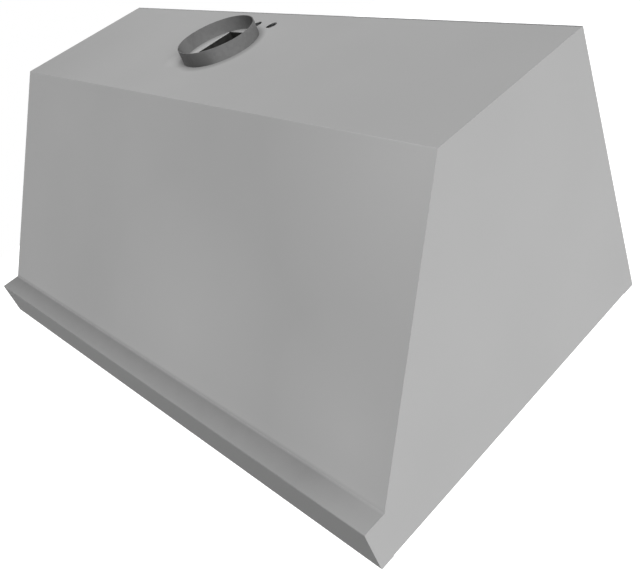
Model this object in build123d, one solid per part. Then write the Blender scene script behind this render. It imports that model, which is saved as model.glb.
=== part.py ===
"""Wall-mounted range hood: folded canopy, blower, damper, baffle filters, lamps and controls.

Millimetres. +X is right seen from the front, +Y points into the wall, +Z is up. Pieces are drawn with
z = 0 at the canopy's bottom edge and lowered on export, so that the origin is the centre of the four
wall-screw holes, on the wall plane.
"""
from build123d import *
from math import acos, cos, degrees, radians, sin, sqrt
import os

# Canopy shell
HOOD_WIDTH = 1219.2
HOOD_DEPTH = 609.6
HOOD_HEIGHT = 454.0
TOP_DEPTH = 304.8
LIP_DEPTH = 38.1
LIP_HEIGHT = 73.0
SHEET = 1.2
BEND_RADIUS = 2.0
RETURN_WIDTH = 24.0
RETURN_HEM = 8.0
REAR_FLANGE = 22.0

# Fit between pieces that move past or rest on each other
REST_GAP = 0.3
SHAFT_GAP = 0.06

# Wall fixing, with the drop from the top to the pattern's centre
WALL_HOLE_SPACING_X = 812.8
WALL_HOLE_SPACING_Z = 254.0
WALL_HOLE_DIAMETER = 9.0
WALL_HOLE_DROP = 164.0

# Discharge hole in the top and the duct collar around it
OUTLET_X = -76.0
OUTLET_Y = -136.0
OUTLET_WIDTH = 96.5
OUTLET_LENGTH = 115.8
COLLAR_DIAMETER = 149.2
COLLAR_HEIGHT = 27.0
COLLAR_WALL = 1.5

# Knock-outs for the supply, over the junction box
KNOCKOUT_DIAMETER = 22.2
KNOCKOUT_SPACING = 47.5
KNOCKOUT_X = -54.8
KNOCKOUT_Y = -45.5

# Strip under the front with the lamps and the controls
PANEL_RECESS = 38.0
PANEL_DEPTH = 130.0
PANEL_FLANGE = 18.0

# Grease gutter along the wall, and the cup under it
GUTTER_DEPTH = 60.0
GUTTER_FLOOR = 36.0
GUTTER_LIP = 60.0
GUTTER_FLANGE = 100.0
DRAIN_DIAMETER = 14.0
CUP_SETBACK = 110.0
CUP_LENGTH = 100.0
CUP_WIDTH = 44.0
CUP_DEPTH = 20.0
CUP_WALL = 1.0
CUP_RIM = 5.0
CUP_CORNER = 6.0
CUP_TAB_WIDTH = 24.0
CUP_TAB_REACH = 6.0
CUP_TAB_DROP = 9.0
RAIL_DROP = 7.0

# Baffle filters
FILTER_COUNT = 3
FILTER_TILT = 12.0
FILTER_THICKNESS = 20.0
FILTER_SHEET = 1.0
FILTER_GAP = 2.0
FILTER_SWING_GAP = 2.0
FRAME_FLANGE = 12.0
FRAME_FRONT_FLANGE = 22.0
HOOK_REACH = 5.0
HOOK_DROP = 6.0
HOOK_END_GAP = 10.0
BAFFLE_SHEET = 0.8
BAFFLE_BEND = 1.6
BAFFLE_COUNT = 10
BAFFLE_WIDTH = 28.0
BAFFLE_HEIGHT = 11.0
DRAIN_SLOT_LENGTH = 14.0
DRAIN_SLOT_HEIGHT = 3.0
HANDLE_WIDTH = 90.0
HANDLE_DROP = 22.0
HANDLE_ROD = 5.0
HANDLE_BEND = 9.0
HANDLE_FOOT_DIAMETER = 14.0
HANDLE_FOOT = 1.5
MAGNET_DIAMETER = 16.0
MAGNET_HEIGHT = 4.0
MAGNET_SPREAD = 240.0
MAGNET_SETBACK = 12.0
STOP_FLANGE = 24.0
SIDE_RAIL_OVERLAP = 6.0
SIDE_RAIL_HEIGHT = 14.0

# Blower: wheel, scroll housing and inlets
WHEEL_DIAMETER = 150.0
WHEEL_WIDTH = 84.0
THROAT_HEIGHT = 23.8
BLADE_COUNT = 32
BLADE_DEPTH = 14.0
BLADE_SHEET = 0.9
BLADE_LEAN = 6.0
BLADE_SAGITTA = 4.0
WHEEL_DISC = 1.5
WHEEL_RING = 4.0
HUB_DIAMETER = 24.0
HUB_LENGTH = 26.0
SCROLL_SHEET = 1.0
SCROLL_STEP = 16.0
SCROLL_CLEARANCE = 7.0
CUTOFF_RADIUS = 5.0
INLET_DIAMETER = 114.0
INLET_BEND = 7.0
INLET_FLANGE = 6.0
INLET_SHEET = 0.8
INLET_NOSE = 2.5
BLOWER_FLANGE_WIDTH = 12.0
BLOWER_FLANGE_SHEET = 1.5
STUD_DIAMETER = 5.0
STUD_LENGTH = 12.0
NUT_WIDTH = 8.0
NUT_HEIGHT = 4.0

# Motor beside the left inlet
MOTOR_DIAMETER = 92.0
STACK_DIAMETER = 96.0
STACK_LENGTH = 34.0
MOTOR_LENGTH = 82.0
MOTOR_GAP = 27.0
MOTOR_ROUND = 8.0
MOTOR_BOSS_DIAMETER = 24.0
VENT_COUNT = 8
VENT_RADIUS = 28.0
VENT_LENGTH = 18.0
VENT_WIDTH = 6.0
VENT_DEPTH = 3.0
SHAFT_DIAMETER = 8.0
BEARING_DEPTH = 70.0
STRAP_WIDTH = 20.0
STRAP_SHEET = 1.5
CLAMP_GAP = 4.0
CLAMP_EAR = 12.0
CLAMP_HOLE_DIAMETER = 5.0
ARM_COUNT = 3
ARM_START = 60.0
ARM_WIDTH = 16.0
ARM_SHEET = 2.0
ARM_RADIUS = 73.0
FOOT_LENGTH = 16.0
SCREW_MARGIN = 1.0
SCREW_DIAMETER = 4.0
SCREW_HEAD_DIAMETER = 8.0
SCREW_HEAD = 2.4

# Back-draught damper in the throat
DAMPER_BELOW_TOP = 54.0
DAMPER_SHEET = 1.0
DAMPER_FRAME_BELOW = 9.0
DAMPER_FRAME_ABOVE = 22.0
DAMPER_LEDGE = 5.0
FLAP_SHEET = 0.8
FLAP_GAP = 1.2
SPINDLE_DIAMETER = 4.0
KNUCKLE_DIAMETER = 6.4
KNUCKLE_COUNT = 4
KNUCKLE_GAP = 0.5

# Junction box and the motor's capacitor
BOX_LENGTH = 110.0
BOX_WIDTH = 57.0
BOX_DEPTH = 52.0
BOX_SHEET = 1.0
BOX_WALL_GAP = 3.2
BOX_FLANGE = 12.0
COVER_SKIRT = 8.0
COVER_LIP = 10.0
CAPACITOR_X = 70.0
CAPACITOR_DIAMETER = 34.0
CAPACITOR_LENGTH = 62.0
CAPACITOR_DROP = 124.0
CAPACITOR_ROUND = 2.4
TERMINAL_HEIGHT = 8.0
TERMINAL_WIDTH = 6.3
TERMINAL_SHEET = 0.8
TERMINAL_SPREAD = 16.0

# Lamps and controls on the strip
LAMP_SETBACK = 230.0
LAMP_DIAMETER = 58.0
LAMP_HEIGHT = 14.0
LAMP_WALL = 1.5
LAMP_HOLE_GAP = 0.3
HEAT_SINK_CORE_DIAMETER = 34.0
HEAT_SINK_DISCS = 3
HEAT_SINK_DISC = 1.6
HEAT_SINK_GAP = 3.4
TRIM_WIDTH = 6.0
TRIM_DEPTH = 2.8
TRIM_EDGE = 0.8
TRIM_BEVEL = 3.0
TRIM_LIP = 3.5
TRIM_LIP_BEVEL = 1.6
LENS_DIAMETER = 54.0
LENS_HEIGHT = 2.4
CONTROL_SPREAD = 110.0
SWITCH_SIZE = 30.0
SWITCH_HEIGHT = 23.0
SWITCH_CORNER = 3.0
BUSHING_DIAMETER = 10.0
BUSHING_DROP = 3.5
SWITCH_NUT_WIDTH = 14.0
SWITCH_NUT_HEIGHT = 2.5
CONTROL_SHAFT_DIAMETER = 6.0
KNOB_DIAMETER = 42.0
KNOB_GAP = 1.4
KNOB_BASE = 7.0
KNOB_HEIGHT = 24.0
KNOB_BAR_LENGTH = 38.0
KNOB_BAR_WIDTH = 11.0
KNOB_ROUND = 1.6
KNOB_DRAFT = 2.0
KNOB_FACE = 8.0
KNOB_RECESS_DIAMETER = 19.0

# Places worked out from the sizes above
INSIDE_X = HOOD_WIDTH / 2 - SHEET
LIP_REAR_Y = LIP_DEPTH - HOOD_DEPTH
TOP_INSIDE_Z = HOOD_HEIGHT - SHEET
WALL_HOLE_HEIGHT = HOOD_HEIGHT - WALL_HOLE_DROP
CAPACITOR_HEIGHT = HOOD_HEIGHT - CAPACITOR_DROP
SLOPE_RUN = -TOP_DEPTH - LIP_REAR_Y
SLOPE_RISE = HOOD_HEIGHT - LIP_HEIGHT
SLOPE_LENGTH = sqrt(SLOPE_RUN ** 2 + SLOPE_RISE ** 2)
LIP_INSIDE_Y = SHEET - HOOD_DEPTH
PANEL_BACK_Y = LIP_INSIDE_Y + PANEL_DEPTH
PANEL_MIDDLE_Y = LIP_INSIDE_Y + PANEL_DEPTH / 2
PANEL_TOP_Z = PANEL_RECESS + SHEET
LAMP_X = HOOD_WIDTH / 2 - LAMP_SETBACK
LAMP_TOP_Z = PANEL_RECESS + LAMP_HEIGHT
CUP_X = HOOD_WIDTH / 2 - CUP_SETBACK

PIVOT_Y = -SHEET - GUTTER_DEPTH
PIVOT_Z = GUTTER_LIP
TILT_COS = cos(radians(FILTER_TILT))
TILT_SIN = sin(radians(FILTER_TILT))
FILTER_REACH = PIVOT_Y - PANEL_BACK_Y - FILTER_SWING_GAP
FILTER_LENGTH = sqrt(FILTER_REACH ** 2 - FILTER_THICKNESS ** 2)
FILTERS_WIDTH = HOOD_WIDTH - 2 * (RETURN_WIDTH + FILTER_GAP)
FILTER_WIDTH = (FILTERS_WIDTH - (FILTER_COUNT - 1) * FILTER_GAP) / FILTER_COUNT
FILTER_SPACING = FILTER_WIDTH + FILTER_GAP
BAFFLE_PITCH = (FILTER_WIDTH - 2 * FILTER_SHEET - BAFFLE_WIDTH) / (BAFFLE_COUNT - 1)
STOP_HEIGHT = FILTER_THICKNESS + REST_GAP + MAGNET_HEIGHT

OUTLET_LEFT_X = OUTLET_X - OUTLET_WIDTH / 2
OUTLET_RIGHT_X = OUTLET_X + OUTLET_WIDTH / 2
OUTLET_FRONT_Y = OUTLET_Y - OUTLET_LENGTH / 2
OUTLET_REAR_Y = OUTLET_Y + OUTLET_LENGTH / 2
DAMPER_Z = TOP_INSIDE_Z - DAMPER_BELOW_TOP
WHEEL_RADIUS = WHEEL_DIAMETER / 2
WHEEL_HEIGHT = DAMPER_Z - THROAT_HEIGHT - WHEEL_RADIUS
SCROLL_RADIUS = WHEEL_RADIUS + SCROLL_CLEARANCE + SCROLL_STEP / 2
WHEEL_Y = OUTLET_REAR_Y - SCROLL_RADIUS - 2.5 * SCROLL_STEP
SHAFT_RADIUS = SHAFT_DIAMETER / 2
INLET_RADIUS = INLET_DIAMETER / 2
PLATE_HOLE_RADIUS = INLET_RADIUS + INLET_BEND
MOTOR_RIGHT_X = OUTLET_LEFT_X - SCROLL_SHEET - MOTOR_GAP
MOTOR_LEFT_X = MOTOR_RIGHT_X - MOTOR_LENGTH
BOX_REAR_Y = -BOX_WALL_GAP
BOX_FRONT_Y = BOX_REAR_Y - BOX_WIDTH
BOX_BOTTOM_Z = TOP_INSIDE_Z - BOX_DEPTH


def polar(radius, angle):
    """A point in a plane, from its distance to the centre and its angle in degrees."""
    return (radius * cos(radians(angle)), radius * sin(radians(angle)))


def folded_section(points, side, sheet=SHEET, bend=BEND_RADIUS):
    """The section of a sheet folded along points of one face, with the sheet's thickness on one side."""
    return make_face(offset(FilletPolyline(*points, radius=bend), sheet, side=side))


def folded_sheet(points, side, x_from, x_to):
    """A sheet folded along points in the YZ plane, from x_from to x_to."""
    return extrude(Plane.YZ.offset(x_from) * folded_section(points, side), x_to - x_from)


def block(x_from, x_to, y_from, y_to, z_from, z_to):
    """A box between two corners."""
    size = (x_to - x_from, y_to - y_from, z_to - z_from)
    return Pos(x_from, y_from, z_from) * Box(*size, align=(Align.MIN, Align.MIN, Align.MIN))


def post(radius, x, y, z_from, z_to):
    """An upright cylinder."""
    return Pos(x, y, z_from) * extrude(Circle(radius), z_to - z_from)


def tube(outer_radius, inner_radius, x, y, z_from, z_to):
    """An upright tube."""
    return Pos(x, y, z_from) * extrude(Circle(outer_radius) - Circle(inner_radius), z_to - z_from)


def terminal(x, y, z):
    """Upright blade terminal."""
    size = (TERMINAL_SHEET, TERMINAL_WIDTH, TERMINAL_HEIGHT)
    return Pos(x, y, z) * Box(*size, align=(Align.CENTER, Align.CENTER, Align.MIN))


def wheel_axis_at(x):
    """The place of a piece that is drawn around +Z from its origin, laid along +X on the wheel's axis."""
    return Location(Plane(origin=(x, WHEEL_Y, WHEEL_HEIGHT), x_dir=(0, 1, 0), z_dir=(1, 0, 0)))


def filter_place(x):
    """The place of a filter drawn flat: its rear edge on y = 0, its face on z = 0, forward along -y."""
    origin = (x, PIVOT_Y, PIVOT_Z + REST_GAP)
    return Location(Plane(origin=origin, x_dir=(1, 0, 0), z_dir=(0, TILT_SIN, TILT_COS)))


def filter_point(forward, above):
    """The (y, z) of a point that lies so far up the filter's slope and so far above its lower face."""
    y = PIVOT_Y - forward * TILT_COS + above * TILT_SIN
    return (y, PIVOT_Z + REST_GAP + forward * TILT_SIN + above * TILT_COS)


def filter_centres():
    """The x of each filter, left to right."""
    first = -(FILTER_COUNT - 1) / 2 * FILTER_SPACING
    return [first + index * FILTER_SPACING for index in range(FILTER_COUNT)]


# Canopy shell

def canopy_outline():
    """The shell's side view, with the folded corners of the front."""
    front = FilletPolyline(
        (0, HOOD_HEIGHT),
        (-TOP_DEPTH, HOOD_HEIGHT),
        (LIP_REAR_Y, LIP_HEIGHT),
        (-HOOD_DEPTH, LIP_HEIGHT),
        (-HOOD_DEPTH, 0),
        (0, 0),
        radius=BEND_RADIUS,
    )
    return make_face(front.edges() + Line((0, 0), (0, HOOD_HEIGHT)).edges())


def knockout_centres():
    return [KNOCKOUT_X - KNOCKOUT_SPACING / 2, KNOCKOUT_X + KNOCKOUT_SPACING / 2]


def canopy_wrap():
    """Top, sloped front and lip in one folded sheet, with the discharge hole and the knock-outs."""
    points = [
        (-SHEET, HOOD_HEIGHT - REAR_FLANGE),
        (-SHEET, HOOD_HEIGHT),
        (-TOP_DEPTH, HOOD_HEIGHT),
        (LIP_REAR_Y, LIP_HEIGHT),
        (-HOOD_DEPTH, LIP_HEIGHT),
        (-HOOD_DEPTH, 0),
        (RETURN_WIDTH - HOOD_DEPTH, 0),
        (RETURN_WIDTH - HOOD_DEPTH, RETURN_HEM),
    ]
    wrap = folded_sheet(points, Side.LEFT, -INSIDE_X, INSIDE_X)
    wrap -= block(OUTLET_LEFT_X, OUTLET_RIGHT_X, OUTLET_FRONT_Y, OUTLET_REAR_Y, TOP_INSIDE_Z, HOOD_HEIGHT)
    for x in knockout_centres():
        wrap -= post(KNOCKOUT_DIAMETER / 2, x, KNOCKOUT_Y, TOP_INSIDE_Z, HOOD_HEIGHT)
    return wrap


def right_side_panel():
    """Flat end cap with a return along its bottom edge, between the returns of the front and the back."""
    plate = extrude(Plane.YZ.offset(INSIDE_X) * canopy_outline(), SHEET)
    return_front = RETURN_WIDTH - HOOD_DEPTH
    return_back = -RETURN_WIDTH
    fold_height = 2 * BEND_RADIUS
    plate -= block(INSIDE_X, HOOD_WIDTH / 2, return_front, return_back, 0, fold_height)
    edge = HOOD_WIDTH / 2
    points = [(edge, fold_height), (edge, 0), (edge - RETURN_WIDTH, 0), (edge - RETURN_WIDTH, RETURN_HEM)]
    section = folded_section(points, Side.RIGHT)
    fold = extrude(Plane.XZ.offset(-return_back) * section, return_back - return_front)
    return plate + fold


def back_panel():
    """Sheet against the wall with the four wall-screw holes and a return along its bottom edge."""
    points = [(0, HOOD_HEIGHT), (0, 0), (-RETURN_WIDTH, 0), (-RETURN_WIDTH, RETURN_HEM)]
    panel = folded_sheet(points, Side.RIGHT, -INSIDE_X, INSIDE_X)
    for x in (-WALL_HOLE_SPACING_X / 2, WALL_HOLE_SPACING_X / 2):
        for z in (-WALL_HOLE_SPACING_Z / 2, WALL_HOLE_SPACING_Z / 2):
            hole = extrude(Plane.XZ * Circle(WALL_HOLE_DIAMETER / 2), SHEET)
            panel -= Pos(x, 0, WALL_HOLE_HEIGHT + z) * hole
    return panel


def duct_collar():
    """Ring on the top, around the discharge hole, that the duct slides over."""
    radius = COLLAR_DIAMETER / 2
    ring = tube(radius, radius - COLLAR_WALL, OUTLET_X, OUTLET_Y, HOOD_HEIGHT, HOOD_HEIGHT + COLLAR_HEIGHT)
    rim = ring.edges().filter_by(GeomType.CIRCLE).group_by(Axis.Z)[-1]
    return fillet(rim, COLLAR_WALL / 4)


# Strip under the front

def lamp_centres():
    return [-LAMP_X, LAMP_X]


def control_centres():
    return [-CONTROL_SPREAD / 2, CONTROL_SPREAD / 2]


def light_panel():
    """Folded strip that carries lamps and controls, up to the flange that the filters close under."""
    flange_start = (STOP_HEIGHT * TILT_SIN + PIVOT_Y - PANEL_BACK_Y) / TILT_COS
    points = [
        (LIP_INSIDE_Y, PANEL_RECESS + PANEL_FLANGE),
        (LIP_INSIDE_Y, PANEL_RECESS),
        (PANEL_BACK_Y, PANEL_RECESS),
        filter_point(flange_start, STOP_HEIGHT),
        filter_point(FILTER_LENGTH - STOP_FLANGE, STOP_HEIGHT),
    ]
    panel = folded_sheet(points, Side.LEFT, -INSIDE_X, INSIDE_X)
    for x in lamp_centres():
        panel -= post(LAMP_DIAMETER / 2 + LAMP_HOLE_GAP, x, PANEL_MIDDLE_Y, PANEL_RECESS, PANEL_TOP_Z)
    for x in control_centres():
        panel -= post(BUSHING_DIAMETER / 2, x, PANEL_MIDDLE_Y, PANEL_RECESS, PANEL_TOP_Z)
    return panel


def wiring_cover():
    """Sheet from the strip's rear flange forward to the sloped front, where it turns up against it."""
    above = STOP_HEIGHT + SHEET
    slope_ratio = SLOPE_RUN / SLOPE_RISE
    slope_wall = SHEET * SLOPE_LENGTH / SLOPE_RISE
    start_y, start_z = filter_point(0, above)
    level = -LIP_REAR_Y - (start_z - LIP_HEIGHT) * slope_ratio - slope_wall + start_y
    meeting = level / (TILT_COS + TILT_SIN * slope_ratio)
    meet_y, meet_z = filter_point(meeting, above)
    turn_up = PANEL_FLANGE / SLOPE_LENGTH
    points = [
        filter_point(FILTER_LENGTH - STOP_FLANGE, above),
        (meet_y, meet_z),
        (meet_y + SLOPE_RUN * turn_up, meet_z + SLOPE_RISE * turn_up),
    ]
    return folded_sheet(points, Side.RIGHT, -INSIDE_X, INSIDE_X)


def lamp_can(x):
    """Recessed lamp housing with a stack of cooling discs on its closed top."""
    radius = LAMP_DIAMETER / 2
    can = post(radius, x, PANEL_MIDDLE_Y, PANEL_RECESS, LAMP_TOP_Z)
    can -= post(radius - LAMP_WALL, x, PANEL_MIDDLE_Y, PANEL_RECESS, LAMP_TOP_Z - LAMP_WALL)
    step = HEAT_SINK_GAP + HEAT_SINK_DISC
    core_top = LAMP_TOP_Z + HEAT_SINK_DISCS * step
    can += post(HEAT_SINK_CORE_DIAMETER / 2, x, PANEL_MIDDLE_Y, LAMP_TOP_Z, core_top)
    for index in range(HEAT_SINK_DISCS):
        disc_top = LAMP_TOP_Z + (index + 1) * step
        can += post(radius, x, PANEL_MIDDLE_Y, disc_top - HEAT_SINK_DISC, disc_top)
    return can


def lamp_trim(x):
    """Bevelled ring under the strip that holds the lens."""
    inner = LENS_DIAMETER / 2 - TRIM_LIP
    outer = LAMP_DIAMETER / 2 + TRIM_WIDTH
    points = [
        (inner, 0),
        (outer, 0),
        (outer, -TRIM_EDGE),
        (outer - TRIM_BEVEL, -TRIM_DEPTH),
        (inner + TRIM_LIP_BEVEL, -TRIM_DEPTH),
        (inner, -TRIM_EDGE),
    ]
    ring = revolve(Plane.XZ * make_face(Polyline(*points, close=True)), Axis.Z)
    return Pos(x, PANEL_MIDDLE_Y, PANEL_RECESS) * ring


def lamp_lens(x):
    return post(LENS_DIAMETER / 2, x, PANEL_MIDDLE_Y, PANEL_RECESS, PANEL_RECESS + LENS_HEIGHT)


def rotary_switch(x):
    """Switch body on the strip with its bushing through it and four terminals on top."""
    body = extrude(RectangleRounded(SWITCH_SIZE, SWITCH_SIZE, SWITCH_CORNER), SWITCH_HEIGHT)
    switch = Pos(x, PANEL_MIDDLE_Y, PANEL_TOP_Z) * body
    switch += post(BUSHING_DIAMETER / 2, x, PANEL_MIDDLE_Y, PANEL_RECESS - BUSHING_DROP, PANEL_TOP_Z)
    top = PANEL_TOP_Z + SWITCH_HEIGHT
    for side_x in (-TERMINAL_SPREAD / 2, TERMINAL_SPREAD / 2):
        for side_y in (-TERMINAL_SPREAD / 2, TERMINAL_SPREAD / 2):
            switch += terminal(x + side_x, PANEL_MIDDLE_Y + side_y, top)
    bore = CONTROL_SHAFT_DIAMETER / 2 + SHAFT_GAP
    return switch - post(bore, x, PANEL_MIDDLE_Y, PANEL_RECESS - BUSHING_DROP, top)


def switch_nut(x):
    """Nut on the bushing, under the strip."""
    nut = extrude(RegularPolygon(SWITCH_NUT_WIDTH / 2, 6, major_radius=False), SWITCH_NUT_HEIGHT)
    nut -= extrude(Circle(BUSHING_DIAMETER / 2), SWITCH_NUT_HEIGHT)
    return Pos(x, PANEL_MIDDLE_Y, PANEL_RECESS - SWITCH_NUT_HEIGHT) * nut


def control_shaft(x):
    """Shaft from inside the knob to the top of the switch."""
    knob_bottom = PANEL_RECESS - KNOB_GAP - KNOB_HEIGHT
    return post(
        CONTROL_SHAFT_DIAMETER / 2,
        x,
        PANEL_MIDDLE_Y,
        knob_bottom + KNOB_FACE,
        PANEL_TOP_Z + SWITCH_HEIGHT,
    )


def control_knob(x):
    """Round knob with a grip bar across its face, drawn downwards from its upper face."""
    base = extrude(Circle(KNOB_DIAMETER / 2), -KNOB_BASE)
    base = fillet(base.edges().group_by(Axis.Z)[0], KNOB_ROUND)
    grip = SlotOverall(KNOB_BAR_LENGTH, KNOB_BAR_WIDTH, rotation=90)
    bar = extrude(grip, -KNOB_HEIGHT, taper=KNOB_DRAFT)
    bar = fillet(bar.edges().group_by(Axis.Z)[0], KNOB_ROUND)
    knob = base + bar
    recess = BUSHING_DROP + REST_GAP * 2 - KNOB_GAP
    knob -= extrude(Circle(KNOB_RECESS_DIAMETER / 2), -recess)
    knob -= extrude(Circle(CONTROL_SHAFT_DIAMETER / 2), KNOB_FACE - KNOB_HEIGHT)
    return Pos(x, PANEL_MIDDLE_Y, PANEL_RECESS - KNOB_GAP) * knob


# Grease side

def grease_gutter():
    """Folded channel along the wall; the filters hook over its front lip and drain into it."""
    points = [
        (-SHEET, GUTTER_FLANGE),
        (-SHEET, GUTTER_FLOOR),
        (PIVOT_Y, GUTTER_FLOOR),
        (PIVOT_Y, GUTTER_LIP),
    ]
    gutter = folded_sheet(points, Side.RIGHT, -INSIDE_X, INSIDE_X)
    return gutter - post(DRAIN_DIAMETER / 2, CUP_X, cup_y(), GUTTER_FLOOR, GUTTER_FLOOR + SHEET)


def cup_y():
    return (PIVOT_Y - SHEET) / 2


def cup_rim_z():
    """Underside of the cup's rim."""
    return GUTTER_FLOOR - RAIL_DROP + CUP_WALL + REST_GAP


def grease_cup():
    """Small pressed cup with a rim that hangs on the rail and a finger tab at its open end."""
    rim_bottom = cup_rim_z()
    body = extrude(RectangleRounded(CUP_LENGTH, CUP_WIDTH, CUP_CORNER), -CUP_DEPTH)
    body = fillet(body.edges().group_by(Axis.Z)[0], CUP_CORNER / 2)
    rim = extrude(RectangleRounded(CUP_LENGTH, CUP_WIDTH + 2 * CUP_RIM, CUP_WALL), CUP_WALL)
    inner_length = CUP_LENGTH - 2 * CUP_WALL
    inner_width = CUP_WIDTH - 2 * CUP_WALL
    inner = RectangleRounded(inner_length, inner_width, CUP_CORNER - CUP_WALL)
    hollow = extrude(inner, -CUP_DEPTH + CUP_WALL)
    hollow = fillet(hollow.edges().group_by(Axis.Z)[0], CUP_CORNER / 2 - CUP_WALL)
    mouth = extrude(inner, CUP_WALL)
    cup = body + rim - hollow - mouth
    end = -CUP_LENGTH / 2
    tip = end - CUP_TAB_REACH
    half = CUP_TAB_WIDTH / 2
    cup += block(tip, end + CUP_WALL, -half, half, 0, CUP_WALL)
    cup += block(tip, tip + CUP_WALL, -half, half, -CUP_TAB_DROP, CUP_WALL)
    return Pos(CUP_X, cup_y(), rim_bottom) * cup


def cup_rail():
    """Two inward hooks under the gutter joined by an end stop, for the cup's rim."""
    half = CUP_WIDTH / 2 + CUP_RIM + REST_GAP
    floor = GUTTER_FLOOR - RAIL_DROP
    outer = half + CUP_WALL
    left = CUP_X - CUP_LENGTH / 2
    right = CUP_X + CUP_LENGTH / 2 + REST_GAP
    rail = block(right, right + CUP_WALL, cup_y() - outer, cup_y() + outer, floor, GUTTER_FLOOR)
    for side in (-1, 1):
        web = sorted((cup_y() + side * half, cup_y() + side * outer))
        shelf = sorted((cup_y() + side * (half - CUP_RIM + 1), cup_y() + side * outer))
        rail += block(left, right, *web, floor, GUTTER_FLOOR)
        rail += block(left, right, *shelf, floor, floor + CUP_WALL)
    return rail


# Baffle filters, drawn flat with the rear edge on y = 0 and placed on the slope

def filter_frame():
    """Channel frame open above and below; its rear edge has the hook and the drain slots."""
    half = FILTER_WIDTH / 2
    sheet = FILTER_SHEET
    inner_top = FILTER_THICKNESS - sheet
    frame = block(-half, half, -FILTER_LENGTH, 0, 0, FILTER_THICKNESS)
    frame -= block(-half + sheet, half - sheet, sheet - FILTER_LENGTH, -sheet, sheet, inner_top)
    window = half - FRAME_FLANGE
    frame -= block(-window, window, FRAME_FRONT_FLANGE - FILTER_LENGTH, -FRAME_FLANGE, 0, FILTER_THICKNESS)
    slot_half = DRAIN_SLOT_LENGTH / 2
    for x in baffle_centres(upper=False):
        frame -= block(x - slot_half, x + slot_half, -sheet, 0, sheet, sheet + DRAIN_SLOT_HEIGHT)
    hook = half - HOOK_END_GAP
    frame += block(-hook, hook, -sheet, HOOK_REACH, 0, sheet)
    frame += block(-hook, hook, HOOK_REACH - sheet, HOOK_REACH, -HOOK_DROP, sheet)
    return frame


def baffle(x, upper):
    """One channel of the filter: open side up in the lower row, turned over in the upper row."""
    half = BAFFLE_WIDTH / 2
    base = FILTER_THICKNESS - FILTER_SHEET if upper else FILTER_SHEET
    tip = base - BAFFLE_HEIGHT if upper else base + BAFFLE_HEIGHT
    side = Side.RIGHT if upper else Side.LEFT
    points = [(-half, tip), (-half, base), (half, base), (half, tip)]
    section = folded_section(points, side, BAFFLE_SHEET, BAFFLE_BEND)
    length = FILTER_LENGTH - 2 * FILTER_SHEET
    return Pos(x, 0, 0) * extrude(Plane.XZ.offset(FILTER_SHEET) * section, length)


def baffle_centres(upper):
    """The upper row runs from side to side of the frame; the lower row sits under its gaps."""
    count = BAFFLE_COUNT if upper else BAFFLE_COUNT - 1
    first = -(count - 1) / 2 * BAFFLE_PITCH
    return [first + index * BAFFLE_PITCH for index in range(count)]


def baffle_row(upper):
    """All the channels of one row."""
    return [baffle(x, upper) for x in baffle_centres(upper)]


def filter_handle():
    """Fixed pull loop under the frame's front flange."""
    half = HANDLE_WIDTH / 2
    foot = -HANDLE_FOOT
    path = FilletPolyline(
        (-half, foot),
        (-half, -HANDLE_DROP),
        (half, -HANDLE_DROP),
        (half, foot),
        radius=HANDLE_BEND,
    )
    path = Plane.XZ * path
    handle = sweep(Plane(path @ 0, z_dir=path % 0) * Circle(HANDLE_ROD / 2), path)
    for x in (-half, half):
        handle += post(HANDLE_FOOT_DIAMETER / 2, x, 0, foot, 0)
    return Pos(0, FRAME_FRONT_FLANGE / 2 - FILTER_LENGTH, 0) * handle


def filter_magnets():
    """Magnets under the strip's rear flange that hold the filters shut."""
    magnets = []
    for centre in filter_centres():
        for x in (-MAGNET_SPREAD / 2, MAGNET_SPREAD / 2):
            bottom = FILTER_THICKNESS + REST_GAP
            y = MAGNET_SETBACK - FILTER_LENGTH
            magnets.append(filter_place(centre) * post(MAGNET_DIAMETER / 2, x, y, bottom, STOP_HEIGHT))
    return magnets


def right_filter_rail():
    """Angle on the side panel that closes the gap beside the outer filter, above it."""
    bottom = FILTER_THICKNESS + REST_GAP
    points = [
        (INSIDE_X, bottom + SIDE_RAIL_HEIGHT),
        (INSIDE_X, bottom),
        (FILTERS_WIDTH / 2 - SIDE_RAIL_OVERLAP, bottom),
    ]
    section = folded_section(points, Side.RIGHT)
    length = FILTER_LENGTH - STOP_FLANGE - 2 * FRAME_FLANGE
    return filter_place(0) * extrude(Plane.XZ.offset(FRAME_FLANGE) * section, length)


# Blower

def scroll_inside():
    """The scroll's inner face in side view: three quarter arcs of growing radius and a straight throat."""
    step = SCROLL_STEP
    low = WHEEL_HEIGHT - step / 2
    front = WHEEL_Y - step / 2
    cutoff = degrees(acos((OUTLET_FRONT_Y - front) / SCROLL_RADIUS))
    cutoff_z = low + SCROLL_RADIUS * sin(radians(cutoff))
    edges = [
        Line((OUTLET_FRONT_Y, TOP_INSIDE_Z), (OUTLET_FRONT_Y, cutoff_z)),
        CenterArc((front, low), SCROLL_RADIUS, cutoff, 180 - cutoff),
        CenterArc((front + step, low), SCROLL_RADIUS + step, 180, 90),
        CenterArc((front + step, low + step), SCROLL_RADIUS + 2 * step, 270, 90),
        Line((OUTLET_REAR_Y, low + step), (OUTLET_REAR_Y, TOP_INSIDE_Z)),
        Line((OUTLET_REAR_Y, TOP_INSIDE_Z), (OUTLET_FRONT_Y, TOP_INSIDE_Z)),
    ]
    face = make_face(edges)
    tongue = face.vertices().sort_by_distance((OUTLET_FRONT_Y, cutoff_z))[0]
    return fillet(tongue, CUTOFF_RADIUS)


def scroll_outside():
    """The side view of the whole scroll, with its sheet, cut level with the underside of the top."""
    grown = offset(scroll_inside(), SCROLL_SHEET, kind=Kind.INTERSECTION)
    above = Pos(WHEEL_Y, TOP_INSIDE_Z + HOOD_HEIGHT / 2) * Rectangle(HOOD_DEPTH, HOOD_HEIGHT)
    return grown - above


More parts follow.
